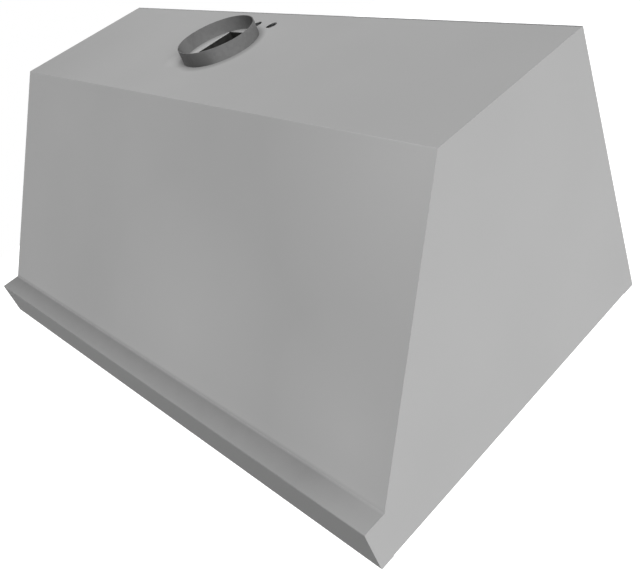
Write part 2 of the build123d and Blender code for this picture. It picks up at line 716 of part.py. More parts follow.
def blower_scroll():
    """The wrapped sheet of the housing, between its side plates."""
    wall = scroll_outside() - scroll_inside()
    return extrude(Plane.YZ.offset(OUTLET_LEFT_X) * wall, OUTLET_WIDTH)


def arm_angles():
    return [ARM_START + index * 360 / ARM_COUNT for index in range(ARM_COUNT)]


def foot_screw_radius():
    return ARM_RADIUS + FOOT_LENGTH - SCREW_HEAD_DIAMETER / 2 - SCREW_MARGIN


def side_plate(x, with_screws):
    """One side of the housing with its inlet hole."""
    plate = extrude(Plane.YZ.offset(x) * scroll_outside(), SCROLL_SHEET)
    plate -= wheel_axis_at(x) * extrude(Circle(PLATE_HOLE_RADIUS), SCROLL_SHEET)
    if with_screws:
        for angle in arm_angles():
            hole = extrude(Circle(SCREW_DIAMETER / 2), SCROLL_SHEET)
            plate -= wheel_axis_at(x) * Pos(*polar(foot_screw_radius(), angle), 0) * hole
    return plate


def inlet_ring():
    """Bell mouth drawn around +Z: a flange outside the side plate and a neck that points inwards."""
    side_gap = (OUTLET_WIDTH - WHEEL_WIDTH) / 2
    depth = SCROLL_SHEET + side_gap + INLET_NOSE
    points = [
        (PLATE_HOLE_RADIUS + INLET_FLANGE, -INLET_SHEET),
        (INLET_RADIUS, -INLET_SHEET),
        (INLET_RADIUS, depth),
    ]
    section = folded_section(points, Side.LEFT, INLET_SHEET, INLET_BEND)
    return revolve(Plane.XZ * section, Axis.Z)


def left_inlet_ring():
    return wheel_axis_at(OUTLET_LEFT_X - SCROLL_SHEET) * inlet_ring()


def right_inlet_ring():
    facing_left = Location(
        Plane(
            origin=(OUTLET_RIGHT_X + SCROLL_SHEET, WHEEL_Y, WHEEL_HEIGHT),
            x_dir=(0, 1, 0),
            z_dir=(-1, 0, 0),
        )
    )
    return facing_left * inlet_ring()


def stud_places():
    """Studs around the throat, in the middle of the flange's sides."""
    inset = SCROLL_SHEET + BLOWER_FLANGE_WIDTH / 2
    corner_x = OUTLET_WIDTH / 2 + inset
    corner_y = OUTLET_LENGTH / 2 + inset
    places = []
    for side_x in (-1, 1):
        for side_y in (-1, 0, 1):
            places.append((OUTLET_X + side_x * corner_x, OUTLET_Y + side_y * corner_y))
    return places


def blower_flange():
    """Frame around the throat that hangs the blower from the top."""
    inner = (OUTLET_WIDTH + 2 * SCROLL_SHEET, OUTLET_LENGTH + 2 * SCROLL_SHEET)
    outer = (inner[0] + 2 * BLOWER_FLANGE_WIDTH, inner[1] + 2 * BLOWER_FLANGE_WIDTH)
    frame = extrude(Rectangle(*outer) - Rectangle(*inner), BLOWER_FLANGE_SHEET)
    flange = Pos(OUTLET_X, OUTLET_Y, TOP_INSIDE_Z - BLOWER_FLANGE_SHEET) * frame
    for x, y in stud_places():
        flange -= post(STUD_DIAMETER / 2, x, y, TOP_INSIDE_Z - BLOWER_FLANGE_SHEET, TOP_INSIDE_Z)
    return flange


def blower_studs():
    """Studs welded under the top."""
    bottom = TOP_INSIDE_Z - STUD_LENGTH
    return [post(STUD_DIAMETER / 2, x, y, bottom, TOP_INSIDE_Z) for x, y in stud_places()]


def blower_nuts():
    hexagon = RegularPolygon(NUT_WIDTH / 2, 6, major_radius=False)
    nut = extrude(hexagon - Circle(STUD_DIAMETER / 2), NUT_HEIGHT)
    bottom = TOP_INSIDE_Z - BLOWER_FLANGE_SHEET - NUT_HEIGHT
    return [Pos(x, y, bottom) * nut for x, y in stud_places()]


def wheel_blade():
    """One forward-curved blade in side view, hollow towards the turn."""
    inner = Vector(WHEEL_RADIUS - BLADE_DEPTH, 0)
    outer = Vector(*polar(WHEEL_RADIUS, BLADE_LEAN))
    chord = outer - inner
    bulge = Vector(chord.Y, -chord.X).normalized() * BLADE_SAGITTA
    arc = ThreePointArc(inner, (inner + outer) * 0.5 + bulge, outer)
    return make_face(offset(arc, BLADE_SHEET, side=Side.LEFT))


def blower_wheel():
    """Double-inlet wheel: hub, middle disc, forward-curved blades and a ring at each end."""
    half = WHEEL_WIDTH / 2
    blade = extrude(wheel_blade(), half, both=True)
    wheel = extrude(Circle(WHEEL_RADIUS), WHEEL_DISC / 2, both=True)
    wheel += PolarLocations(0, BLADE_COUNT) * blade
    end_ring = extrude(Circle(WHEEL_RADIUS) - Circle(WHEEL_RADIUS - WHEEL_RING), WHEEL_DISC)
    wheel += Pos(0, 0, half - WHEEL_DISC) * end_ring
    wheel += Pos(0, 0, -half) * end_ring
    wheel += extrude(Circle(HUB_DIAMETER / 2), HUB_LENGTH / 2, both=True)
    wheel -= extrude(Circle(SHAFT_RADIUS), HUB_LENGTH, both=True)
    return wheel_axis_at(OUTLET_X) * wheel


def motor_shaft():
    """Shaft from the motor's inside to the far end of the hub."""
    start = MOTOR_RIGHT_X - BEARING_DEPTH + REST_GAP
    end = OUTLET_X + HUB_LENGTH / 2
    return wheel_axis_at(start) * extrude(Circle(SHAFT_RADIUS), end - start)


def motor():
    """Motor with two vented end bells around its stack, and the bore for the shaft."""
    bell_step = (STACK_DIAMETER - MOTOR_DIAMETER) / 2
    body = extrude(Circle(MOTOR_DIAMETER / 2), MOTOR_LENGTH)
    body = fillet(body.edges(), MOTOR_ROUND)
    stack_start = (MOTOR_LENGTH - STACK_LENGTH) / 2
    stack = extrude(Circle(STACK_DIAMETER / 2), STACK_LENGTH)
    body += Pos(0, 0, stack_start) * chamfer(stack.edges(), bell_step / 2)
    body += Pos(0, 0, MOTOR_LENGTH) * extrude(Circle(MOTOR_BOSS_DIAMETER / 2), bell_step)
    vent = extrude(SlotOverall(VENT_LENGTH, VENT_WIDTH), VENT_DEPTH)
    body -= PolarLocations(VENT_RADIUS, VENT_COUNT) * vent
    body -= PolarLocations(VENT_RADIUS, VENT_COUNT) * (Pos(0, 0, MOTOR_LENGTH - VENT_DEPTH) * vent)
    bore = extrude(Circle(SHAFT_RADIUS + SHAFT_GAP), BEARING_DEPTH + bell_step)
    return wheel_axis_at(MOTOR_LEFT_X) * (body - Pos(0, 0, MOTOR_LENGTH - BEARING_DEPTH) * bore)


def motor_bracket():
    """Clamped band around the motor's stack with three arms that stand on the housing's side plate."""
    band_middle = MOTOR_LEFT_X + MOTOR_LENGTH / 2
    stack_radius = STACK_DIAMETER / 2
    band = extrude(Circle(stack_radius + STRAP_SHEET) - Circle(stack_radius), STRAP_WIDTH / 2, both=True)
    plate_face = OUTLET_LEFT_X - SCROLL_SHEET - band_middle
    points = [
        (stack_radius + STRAP_SHEET / 2, 0),
        (ARM_RADIUS, 0),
        (ARM_RADIUS, plate_face),
        (ARM_RADIUS + FOOT_LENGTH, plate_face),
    ]
    section = folded_section(points, Side.RIGHT, ARM_SHEET, 2 * ARM_SHEET)
    arm = extrude(Plane.XZ * section, ARM_WIDTH / 2, both=True)
    hole = extrude(Circle(SCREW_DIAMETER / 2), ARM_SHEET)
    arm -= Pos(foot_screw_radius(), 0, plate_face - ARM_SHEET) * hole
    half_gap = CLAMP_GAP / 2
    half_strap = STRAP_WIDTH / 2
    ear_end = stack_radius + STRAP_SHEET + CLAMP_EAR
    ear_half = half_gap + STRAP_SHEET
    bracket = band + block(stack_radius, ear_end, -ear_half, ear_half, -half_strap, half_strap)
    bracket -= block(stack_radius - STRAP_SHEET, ear_end, -half_gap, half_gap, -half_strap, half_strap)
    bracket -= clamp_axis() * extrude(Circle(CLAMP_HOLE_DIAMETER / 2), CLAMP_GAP, both=True)
    for angle in arm_angles():
        bracket += Rot(0, 0, angle) * arm
    return wheel_axis_at(band_middle) * bracket


def clamp_axis():
    """The clamp screw's line through the band's two ears."""
    return Plane(origin=(STACK_DIAMETER / 2 + STRAP_SHEET + CLAMP_EAR / 2, 0, 0), z_dir=(0, 1, 0))


def motor_screws():
    """Screws through the bracket's feet into the side plate."""
    foot_face = OUTLET_LEFT_X - SCROLL_SHEET - ARM_SHEET
    head = extrude(Circle(SCREW_HEAD_DIAMETER / 2), -SCREW_HEAD)
    head = fillet(head.edges().group_by(Axis.Z)[0], SCREW_HEAD / 3)
    screw = head + extrude(Circle(SCREW_DIAMETER / 2), ARM_SHEET + SCROLL_SHEET)
    places = [Pos(*polar(foot_screw_radius(), angle), 0) for angle in arm_angles()]
    return [wheel_axis_at(foot_face) * place * screw for place in places]


# Damper

def damper_frame():
    """Sleeve in the throat with a ledge under the flaps and the spindle's two holes."""
    outer = (OUTLET_WIDTH, OUTLET_LENGTH)
    inner = (OUTLET_WIDTH - 2 * DAMPER_SHEET, OUTLET_LENGTH - 2 * DAMPER_SHEET)
    mouth = (inner[0] - 2 * DAMPER_LEDGE, inner[1] - 2 * DAMPER_LEDGE)
    ledge_top = DAMPER_Z - KNUCKLE_DIAMETER / 2 - REST_GAP
    bottom = ledge_top - DAMPER_FRAME_BELOW
    sleeve = extrude(Rectangle(*outer) - Rectangle(*inner), DAMPER_Z + DAMPER_FRAME_ABOVE - bottom)
    frame = Pos(OUTLET_X, OUTLET_Y, bottom) * sleeve
    ledge = extrude(Rectangle(*inner) - Rectangle(*mouth), DAMPER_SHEET)
    frame += Pos(OUTLET_X, OUTLET_Y, ledge_top - DAMPER_SHEET) * ledge
    return frame - damper_spindle()


def damper_spindle():
    rod = extrude(Circle(SPINDLE_DIAMETER / 2), OUTLET_WIDTH)
    return Plane(origin=(OUTLET_LEFT_X, OUTLET_Y, DAMPER_Z), z_dir=(1, 0, 0)) * rod


def damper_flap(direction):
    """A plate with rolled knuckles on the spindle. Direction is 1 to the rear and -1 to the front."""
    half_width = OUTLET_WIDTH / 2 - DAMPER_SHEET - FLAP_GAP
    reach = OUTLET_LENGTH / 2 - DAMPER_SHEET - FLAP_GAP
    bottom = -KNUCKLE_DIAMETER / 2
    plate_y = sorted((direction * REST_GAP, direction * reach))
    plate = block(-half_width, half_width, *plate_y, bottom, bottom + FLAP_SHEET)
    pitch = 2 * half_width / KNUCKLE_COUNT
    notch = KNUCKLE_DIAMETER / 2 + KNUCKLE_GAP
    knuckles = []
    for index in range(KNUCKLE_COUNT):
        start = -half_width + index * pitch
        if (index % 2 == 0) == (direction > 0):
            barrel = extrude(Circle(KNUCKLE_DIAMETER / 2), pitch - KNUCKLE_GAP)
            knuckles.append(Plane(origin=(start + KNUCKLE_GAP / 2, 0, 0), z_dir=(1, 0, 0)) * barrel)
        else:
            notch_y = sorted((0, direction * notch))
            plate -= block(start, start + pitch, *notch_y, bottom, bottom + FLAP_SHEET)
    flap = plate
    for barrel in knuckles:
        flap += barrel
    bore = extrude(Circle(SPINDLE_DIAMETER / 2 + SHAFT_GAP), OUTLET_WIDTH)
    flap -= Plane(origin=(-OUTLET_WIDTH / 2, 0, 0), z_dir=(1, 0, 0)) * bore
    return Pos(OUTLET_X, OUTLET_Y, DAMPER_Z) * flap


# Supply

def junction_box():
    """Box under the knock-outs, open towards the top sheet and the cover, welded on by its end flanges."""
    half = BOX_LENGTH / 2
    left = KNOCKOUT_X - half
    right = KNOCKOUT_X + half
    box = block(left, right, BOX_FRONT_Y, BOX_REAR_Y, BOX_BOTTOM_Z, TOP_INSIDE_Z)
    sheet = BOX_SHEET
    front = BOX_FRONT_Y + sheet
    rear = BOX_REAR_Y - sheet
    box -= block(left + sheet, right - sheet, front, rear, BOX_BOTTOM_Z, TOP_INSIDE_Z)
    for edge, inward in ((left, 1), (right, -1)):
        flange = sorted((edge, edge - inward * BOX_FLANGE))
        box += block(*flange, BOX_FRONT_Y, BOX_REAR_Y, TOP_INSIDE_Z - sheet, TOP_INSIDE_Z)
        lip = sorted((edge, edge + inward * COVER_LIP))
        box += block(*lip, BOX_FRONT_Y, BOX_REAR_Y, BOX_BOTTOM_Z, BOX_BOTTOM_Z + sheet)
    for x, y in junction_screw_places():
        box -= post(SCREW_DIAMETER / 2, x, y, BOX_BOTTOM_Z, BOX_BOTTOM_Z + sheet)
    return box


def junction_screw_places():
    inset = BOX_LENGTH / 2 - COVER_LIP / 2
    middle = (BOX_FRONT_Y + BOX_REAR_Y) / 2
    return [(KNOCKOUT_X - inset, middle), (KNOCKOUT_X + inset, middle)]


def junction_cover():
    """Lid under the box; its skirt closes over the front and the ends."""
    left = KNOCKOUT_X - BOX_LENGTH / 2
    right = KNOCKOUT_X + BOX_LENGTH / 2
    sheet = BOX_SHEET
    bottom = BOX_BOTTOM_Z - sheet
    top = BOX_BOTTOM_Z + COVER_SKIRT
    cover = block(left - sheet, right + sheet, BOX_FRONT_Y - sheet, BOX_REAR_Y, bottom, top)
    cover -= block(left, right, BOX_FRONT_Y, BOX_REAR_Y, BOX_BOTTOM_Z, top)
    for x, y in junction_screw_places():
        cover -= post(SCREW_DIAMETER / 2, x, y, bottom, BOX_BOTTOM_Z)
    return cover


def junction_screws():
    under = BOX_BOTTOM_Z - BOX_SHEET
    screws = []
    for x, y in junction_screw_places():
        head = post(SCREW_HEAD_DIAMETER / 2, x, y, under - SCREW_HEAD, under)
        head = fillet(head.edges().group_by(Axis.Z)[0], SCREW_HEAD / 3)
        screws.append(head + post(SCREW_DIAMETER / 2, x, y, under, BOX_BOTTOM_Z + BOX_SHEET))
    return screws


def capacitor_y():
    return -SHEET - STRAP_SHEET - CAPACITOR_DIAMETER / 2


def run_capacitor():
    """Motor capacitor with its two terminals."""
    radius = CAPACITOR_DIAMETER / 2
    top = CAPACITOR_HEIGHT + CAPACITOR_LENGTH
    can = post(radius, CAPACITOR_X, capacitor_y(), CAPACITOR_HEIGHT, top)
    can = fillet(can.edges().group_by(Axis.Z)[0], CAPACITOR_ROUND)
    for side in (-TERMINAL_SPREAD / 2, TERMINAL_SPREAD / 2):
        can += terminal(CAPACITOR_X + side, capacitor_y(), top)
    return can


def capacitor_strap():
    """Band around the capacitor with a foot on the back panel at each side."""
    radius = CAPACITOR_DIAMETER / 2
    middle = CAPACITOR_HEIGHT + CAPACITOR_LENGTH / 2
    low = middle - STRAP_WIDTH / 2
    high = middle + STRAP_WIDTH / 2
    band = tube(radius + STRAP_SHEET, radius, CAPACITOR_X, capacitor_y(), low, high)
    reach = radius + STRAP_SHEET + FOOT_LENGTH
    foot = block(CAPACITOR_X - reach, CAPACITOR_X + reach, -SHEET - STRAP_SHEET, -SHEET, low, high)
    return band + foot


def pieces():
    """Every node of the hood: its name and its solid or solids."""
    right_panel = right_side_panel()
    right_rail = right_filter_rail()
    left_x, right_x = lamp_centres()
    light_x, fan_x = control_centres()
    parts = {
        "canopy_wrap": canopy_wrap(),
        "right_side_panel": right_panel,
        "left_side_panel": mirror(right_panel, Plane.YZ),
        "back_panel": back_panel(),
        "duct_collar": duct_collar(),
        "light_panel": light_panel(),
        "wiring_cover": wiring_cover(),
        "left_lamp_can": lamp_can(left_x),
        "left_lamp_trim": lamp_trim(left_x),
        "left_lamp_lens": lamp_lens(left_x),
        "right_lamp_can": lamp_can(right_x),
        "right_lamp_trim": lamp_trim(right_x),
        "right_lamp_lens": lamp_lens(right_x),
        "fan_switch": rotary_switch(fan_x),
        "light_switch": rotary_switch(light_x),
        "switch_nuts": [switch_nut(light_x), switch_nut(fan_x)],
        "fan_shaft": control_shaft(fan_x),
        "fan_knob": control_knob(fan_x),
        "light_shaft": control_shaft(light_x),
        "light_knob": control_knob(light_x),
        "grease_gutter": grease_gutter(),
        "grease_cup": grease_cup(),
        "cup_rail": cup_rail(),
        "filter_magnets": filter_magnets(),
        "right_filter_rail": right_rail,
        "left_filter_rail": mirror(right_rail, Plane.YZ),
        "blower_scroll": blower_scroll(),
        "blower_left_plate": side_plate(OUTLET_LEFT_X - SCROLL_SHEET, True),
        "blower_right_plate": side_plate(OUTLET_RIGHT_X, False),
        "left_inlet_ring": left_inlet_ring(),
        "right_inlet_ring": right_inlet_ring(),
        "blower_flange": blower_flange(),
        "blower_studs": blower_studs(),
        "blower_nuts": blower_nuts(),
        "blower_wheel": blower_wheel(),
        "motor_shaft": motor_shaft(),
        "motor": motor(),
        "motor_bracket": motor_bracket(),
        "motor_screws": motor_screws(),
        "damper_frame": damper_frame(),
        "damper_spindle": damper_spindle(),
        "front_damper_flap": damper_flap(-1),
        "rear_damper_flap": damper_flap(1),
        "junction_box": junction_box(),
        "junction_cover": junction_cover(),
        "junction_screws": junction_screws(),
        "run_capacitor": run_capacitor(),
        "capacitor_strap": capacitor_strap(),
    }
    frame = filter_frame()
    lower = baffle_row(upper=False)
    upper = baffle_row(upper=True)
    handle = filter_handle()
    for name, x in zip(("left", "middle", "right"), filter_centres()):
        place = filter_place(x)
        parts[f"{name}_filter_frame"] = place * frame
        parts[f"{name}_filter_lower_baffles"] = [place * channel for channel in lower]
        parts[f"{name}_filter_upper_baffles"] = [place * channel for channel in upper]
        parts[f"{name}_filter_handle"] = place * handle
    return parts


def solids_of(piece):
    """The solids of a piece that is one shape or a list of shapes."""
    if isinstance(piece, list):
        return [solid for item in piece for solid in item.solids()]
    return piece.solids()


os.makedirs("parts", exist_ok=True)
for name, piece in pieces().items():
    solids = [Pos(0, 0, -WALL_HOLE_HEIGHT) * solid for solid in solids_of(piece)]
    shape = solids[0] if len(solids) == 1 else Compound(children=solids)
    export_step(shape, f"parts/{name}.step")
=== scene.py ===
"""Wall-mounted range hood in soft studio light: finishes, small fittings, camera and lamps.

Metres, in the hood's own frame: +X is right seen from the front, +Y points into the wall, +Z is up.
"""
from math import cos, radians, sin, tau

import bmesh
import bpy
from mathutils import Matrix, Vector


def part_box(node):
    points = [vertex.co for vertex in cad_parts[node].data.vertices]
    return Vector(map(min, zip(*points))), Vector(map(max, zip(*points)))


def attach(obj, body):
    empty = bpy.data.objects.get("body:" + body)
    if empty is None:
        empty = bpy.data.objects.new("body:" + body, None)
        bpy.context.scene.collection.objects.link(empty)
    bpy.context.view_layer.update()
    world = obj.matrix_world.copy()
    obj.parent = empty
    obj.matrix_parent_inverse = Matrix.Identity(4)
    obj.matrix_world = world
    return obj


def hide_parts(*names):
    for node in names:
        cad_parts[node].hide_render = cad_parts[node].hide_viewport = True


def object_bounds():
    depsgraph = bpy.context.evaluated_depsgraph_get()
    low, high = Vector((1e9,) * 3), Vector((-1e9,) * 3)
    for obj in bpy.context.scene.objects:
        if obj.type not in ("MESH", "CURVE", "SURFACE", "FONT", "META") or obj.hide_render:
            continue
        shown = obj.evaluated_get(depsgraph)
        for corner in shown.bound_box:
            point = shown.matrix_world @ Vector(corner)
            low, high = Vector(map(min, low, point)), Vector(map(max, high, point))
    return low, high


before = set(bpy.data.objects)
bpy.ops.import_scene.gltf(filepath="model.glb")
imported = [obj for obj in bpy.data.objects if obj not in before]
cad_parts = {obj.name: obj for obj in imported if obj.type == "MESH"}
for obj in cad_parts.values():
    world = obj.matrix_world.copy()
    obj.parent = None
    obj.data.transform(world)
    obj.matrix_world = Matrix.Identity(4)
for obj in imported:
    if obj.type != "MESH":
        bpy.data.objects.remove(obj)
cad_low, cad_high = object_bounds()

MM = 0.001

# Camera, from the hood's corners in the photograph
CAMERA_PLACE = Vector((1.28155, -0.88611, 0.64338))
CAMERA_AZIMUTH = radians(58.3835)
CAMERA_ELEVATION = radians(31.9159)
CAMERA_ROLL = radians(22.4163)
CAMERA_LENS = 48.0235
CAMERA_SENSOR = 36.0
CAMERA_SHIFT_X = -0.03672
CAMERA_SHIFT_Y = -0.07240

# Floor: how far below the hood it lies, and the strength it shows near its middle and far from it
FLOOR_DROP = 3.0
FLOOR_SIZE = 16.0
FLOOR_COLOR = 0.45
FLOOR_LIFT = 0.8
FLOOR_NEAR = 1.5
FLOOR_FAR = 3.2

# Light: a faint even world, a broad key, and soft lamps by place, width and power
AMBIENT = 0.02
KEY_FROM = Vector((0.78, -0.19, 0.6))
KEY_SOFTNESS = radians(50)
KEY_POWER = 3.87
SOFT_LAMPS = (
    ("top", (0.3, -2.7, 5.6), 3.2, 62),
    ("fill_left", (-4.0, 0.3, -0.6), 1.6, 75),
    ("fill_wall_side", (0.2, 3.8, -0.6), 1.6, 65),
    ("fill_below", (0.0, 0.9, -2.5), 2.8, 27),
)

# Points nearer than this are one
SAME_POINT = 0.001 * MM

# Sizes of the hood's parts that the fittings sit on
BOTTOM_EDGE_Z = -290 * MM
FILTER_TILT = radians(12)
FILTER_HOOK = Vector((0, -61.2, -229.7)) * MM
FILTER_LENGTH = 414.7 * MM
FILTER_FLANGE = 12 * MM
FILTER_FRONT_FLANGE = 22 * MM
SCREW_HEAD = 2.4 * MM
STRAP_SHEET = 1.5 * MM
STRAP_FOOT = 16 * MM
CLAMP_EAR = 12 * MM
CLAMP_HALF = 3.5 * MM
BAND_HALF = 10 * MM
BRACKET_ARMS = (60, 180, 300)
INLET_FLANGE = 6 * MM

# Strap screws: radius of the washer, width across the head's flats, radius and length of the thread
STRAP_WASHER = 4 * MM
STRAP_HEAD = 5.5 * MM
STRAP_THREAD = 1.9 * MM
STRAP_THREAD_LENGTH = 2.5 * MM

# Band bolt, and what studs and nuts share with it
BOLT_WASHER = 5 * MM
BOLT_WASHER_SHEET = 0.8 * MM
BOLT_NUT = 7.6 * MM
BOLT_NUT_HEIGHT = 3 * MM
BOLT_RADIUS = 2.35 * MM
BOLT_PAST_BELOW = 2 * MM
BOLT_PAST_ABOVE = 6 * MM
STUD_PITCH = 0.8 * MM
HEX_CORNER = 0.5 * MM
RIDGE_ROOT = 0.1 * MM

# Blind rivets: radius and height, and how far their foot goes into the sheet
INLET_RIVET = (2.4 * MM, 1.1 * MM)
FRAME_RIVET = (2.6 * MM, 1.0 * MM)
RIVET_SINK = 0.2 * MM

# Lamps' insides: radii, depths under the top of the can's hollow, and the cone's height above the lens
LAMP_INSIDE_RADIUS = 27.5 * MM
LAMP_INSIDE_TOP = BOTTOM_EDGE_Z + 50.5 * MM
LAMP_INSIDE_GAP = 0.4 * MM
BOARD_SHEET = 1.4 * MM
EMITTER_RADIUS = 7.4 * MM
EMITTER_SEAT = 1.5 * MM
EMITTER_EDGE = 2.1 * MM
EMITTER_CROWN = 2.5 * MM
DAM_RADIUS = 8.4 * MM
DAM_FOOT_RADIUS = 8.8 * MM
DAM_FOOT = 1.2 * MM
DAM_DEPTH = 2.6 * MM
CONE_MOUTH = 0.2 * MM
CONE_THROAT_RADIUS = 10 * MM
CONE_THROAT = 1.6 * MM
CONE_WALL = 0.4 * MM

# Where painted shade lies on the sheets
LIP_FRONT_Y = -609.6 * MM
LIP_END_X = 609.6 * MM
BEND_Y = -571.5 * MM
BEND_Z = -217 * MM
BEND_FADE = 3.5 * MM
BEND_SHADE_FADE_X = 460 * MM
SHADE_REACH_UNDER = 1 * MM
FOOT_DRIFT = Vector((3.2, -1.6)) * MM
OUTLET_SHADE_START_Z = 60 * MM
OUTLET_SHADE_FULL_Z = 135 * MM

# The way some faces look
ON_SLOPE = (0.0, -0.819, 0.573)
ON_TOP = (0.0, 0.0, 1.0)
ON_LIP = (0.0, -1.0, 0.0)
ON_REAR_BEND = (0.0, 0.707, 0.707)
ON_RING_FRONT = (0.34, -0.94, 0.0)
IN_RING_LEFT = (0.766, 0.643, 0.0)

# Patches of painted light and shade, darker or lighter than what they lie on: place, the way the faces
# look, reach and tone
ALL_OVER = 9.0
SHEET_PAINTED_SHADING = (
    # painted light on the slope: upper right, low in the middle, low on the right
    ((0.6, -0.31, 0.18), ON_SLOPE, 0.34, 0.5),
    ((0.1, -0.52, -0.14), ON_SLOPE, 0.26, 0.46),
    ((0.53, -0.53, -0.16), ON_SLOPE, 0.18, 0.468),
    # painted shade on the left front corner of the top, and painted light left of the collar, against
    # the collar's shadow
    ((-0.6, -0.32, 0.164), ON_TOP, 0.34, 0.37),
    ((-0.143, -0.183, 0.164), ON_TOP, 0.04, 0.54),
    # painted shade on the lip's front, and painted light on the rear bend
    ((0.0, -0.61, -0.25), ON_LIP, ALL_OVER, 0.36),
    ((0.0, 0.0, 0.163), ON_REAR_BEND, ALL_OVER, 0.75),
)
COLLAR_PAINTED_SHADING = (
    # painted shade in front at the foot, and painted light inside on the left
    ((-0.05, -0.206, 0.15), ON_RING_FRONT, 0.06, 0.058),
    ((-0.132, -0.183, 0.198), IN_RING_LEFT, 0.055, 0.22),
)

# Printed dials and the knobs' lines
DIAL_STEP = radians(45)
DIAL_RADIUS = 32 * MM
TICK_RADIUS = 25 * MM
TICK_SIZE = Vector((0.9, 3.2, 0.3)) * MM
TICK_BEVEL = 0.05 * MM
TEXT_HEIGHT = 8 * MM
INK_THICKNESS = 0.15 * MM
POINTER_WIDTH = 1.6 * MM
POINTER_THICKNESS = 0.5 * MM
POINTER_BEVEL = 0.15 * MM


# Small helpers for pieces

def link(name, mesh, body, material):
    """Makes a finished mesh a piece of the hood."""
    piece = bpy.data.objects.new(name, mesh)
    bpy.context.scene.collection.objects.link(piece)
    mesh.materials.clear()
    mesh.materials.append(material)
    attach(piece, body)
    return piece


def finish(shape, name, body, material, sharp=35):
    """Turns a bmesh into a piece with smooth faces and sharp corners."""
    bmesh.ops.remove_doubles(shape, verts=shape.verts, dist=2 * SAME_POINT)
    bmesh.ops.recalc_face_normals(shape, faces=shape.faces)
    mesh = bpy.data.meshes.new(name)
    shape.to_mesh(mesh)
    shape.free()
    mesh.shade_smooth()
    mesh.set_sharp_from_angle(angle=radians(sharp))
    return link(name, mesh, body, material)


def add_shape(target, shape, place):
    """Adds a copy of one bmesh to another at a place, and frees it."""
    shape.transform(place)
    mesh = bpy.data.meshes.new("part")
    shape.to_mesh(mesh)
    shape.free()
    target.from_mesh(mesh)
    bpy.data.meshes.remove(mesh)


def lathe(profile, steps):
    """A closed form turned around Z from (radius, height) points that start and end on the axis."""
    shape = bmesh.new()
    points = [shape.verts.new((radius, 0, height)) for radius, height in profile]
    edges = [shape.edges.new(pair) for pair in zip(points, points[1:])]
    bmesh.ops.spin(
        shape,
        geom=points + edges,
        cent=(0, 0, 0),
        axis=(0, 0, 1),
        dvec=(0, 0, 0),
        angle=tau,
        steps=steps,
        use_merge=True,
        use_duplicate=False,
    )
    bmesh.ops.remove_doubles(shape, verts=shape.verts, dist=SAME_POINT)
    bmesh.ops.recalc_face_normals(shape, faces=shape.faces)
    return shape


def bar(size, bevel, segments=2):
    """A box with rounded edges, around the origin."""
    shape = bmesh.new()
    bmesh.ops.create_cube(shape, size=1.0)
    bmesh.ops.scale(shape, vec=size, verts=shape.verts)
    bmesh.ops.bevel(
        shape,
        geom=shape.edges[:],
        offset=bevel,
        affect="EDGES",
        segments=segments,
        profile=0.5,
        material=-1,
    )
    return shape


def centre_of(node):
    low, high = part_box(node)
    return (low + high) / 2


def facing(place, direction):
    """A matrix that carries +Z to a direction at a place."""
    turn = Vector((0, 0, 1)).rotation_difference(Vector(direction)).to_matrix().to_4x4()
    return Matrix.Translation(place) @ turn


def solids(node):
    """Low and high corner of each separate solid of a carried-over node, from left to right."""
    shape = bmesh.new()
    shape.from_mesh(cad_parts[node].data)
    bmesh.ops.remove_doubles(shape, verts=shape.verts, dist=SAME_POINT)
    waiting = set(shape.verts)
    boxes = []
    while waiting:
        front = [waiting.pop()]
        island = set(front)
        while front:
            vert = front.pop()
            for edge in vert.link_edges:
                other = edge.other_vert(vert)
                if other not in island:
                    island.add(other)
                    front.append(other)
        waiting -= island
        low = Vector([min(vert.co[axis] for vert in island) for axis in range(3)])
        high = Vector([max(vert.co[axis] for vert in island) for axis in range(3)])
        boxes.append((low, high))
    shape.free()
    return sorted(boxes, key=lambda pair: tuple(pair[0]))


# Fasteners, drawn with their seat on z = 0 and their head upwards

def six_sided(width, height, corner):
    """Head or nut of a width across its flats, with its corners cut."""
    shape = bmesh.new()
    radius = width / 3 ** 0.5
    bmesh.ops.create_cone(
        shape,
        cap_ends=True,
        cap_tris=False,
        segments=6,
        radius1=radius,
        radius2=radius,
        depth=height,
        matrix=Matrix.Translation((0, 0, height / 2)),
    )
    bmesh.ops.bevel(
        shape,
        geom=shape.verts[:],
        offset=corner,
        affect="VERTICES",
        segments=1,
        profile=0.5,
        material=-1,
    )
    return shape


def thread_ridge(radius, root, pitch, length):
    """Helical ridge around Z, from 0 to a length, with closed ends."""
    shape = bmesh.new()
    inside = root - RIDGE_ROOT
    crest = 0.06 * pitch
    foot = 0.45 * pitch
    section = [(inside, -foot), (radius, -crest), (radius, crest), (inside, foot)]
    points = [shape.verts.new((x, 0, z + foot)) for x, z in section]
    edges = [shape.edges.new((first, second)) for first, second in zip(points, points[1:] + points[:1])]
    steps = max(12, round(12 * (length - 2 * foot) / pitch))
    bmesh.ops.spin(
        shape,
        geom=points + edges,
        cent=(0, 0, 0),
        axis=(0, 0, 1),
        dvec=(0, 0, (length - 2 * foot) / steps),
        angle=tau * (length - 2 * foot) / pitch,
        steps=steps,
        use_merge=False,
        use_duplicate=False,
    )
    bmesh.ops.holes_fill(shape, edges=[edge for edge in shape.edges if edge.is_boundary], sides=0)
    bmesh.ops.recalc_face_normals(shape, faces=shape.faces)
    return shape


def threaded_rod(radius, pitch, length):
    """Rod with a screw thread and chamfered ends, from 0 upwards."""
    root = radius - 0.55 * pitch
    end = 0.5 * pitch
    profile = [(0, 0), (root - end / 2, 0), (root, end / 2)]
    profile += [(root, length - end / 2), (root - end / 2, length), (0, length)]
    shape = lathe(profile, 16)
    ridge = thread_ridge(radius, root, pitch, length - end)
    add_shape(shape, ridge, Matrix.Translation((0, 0, end / 2)))
    return shape


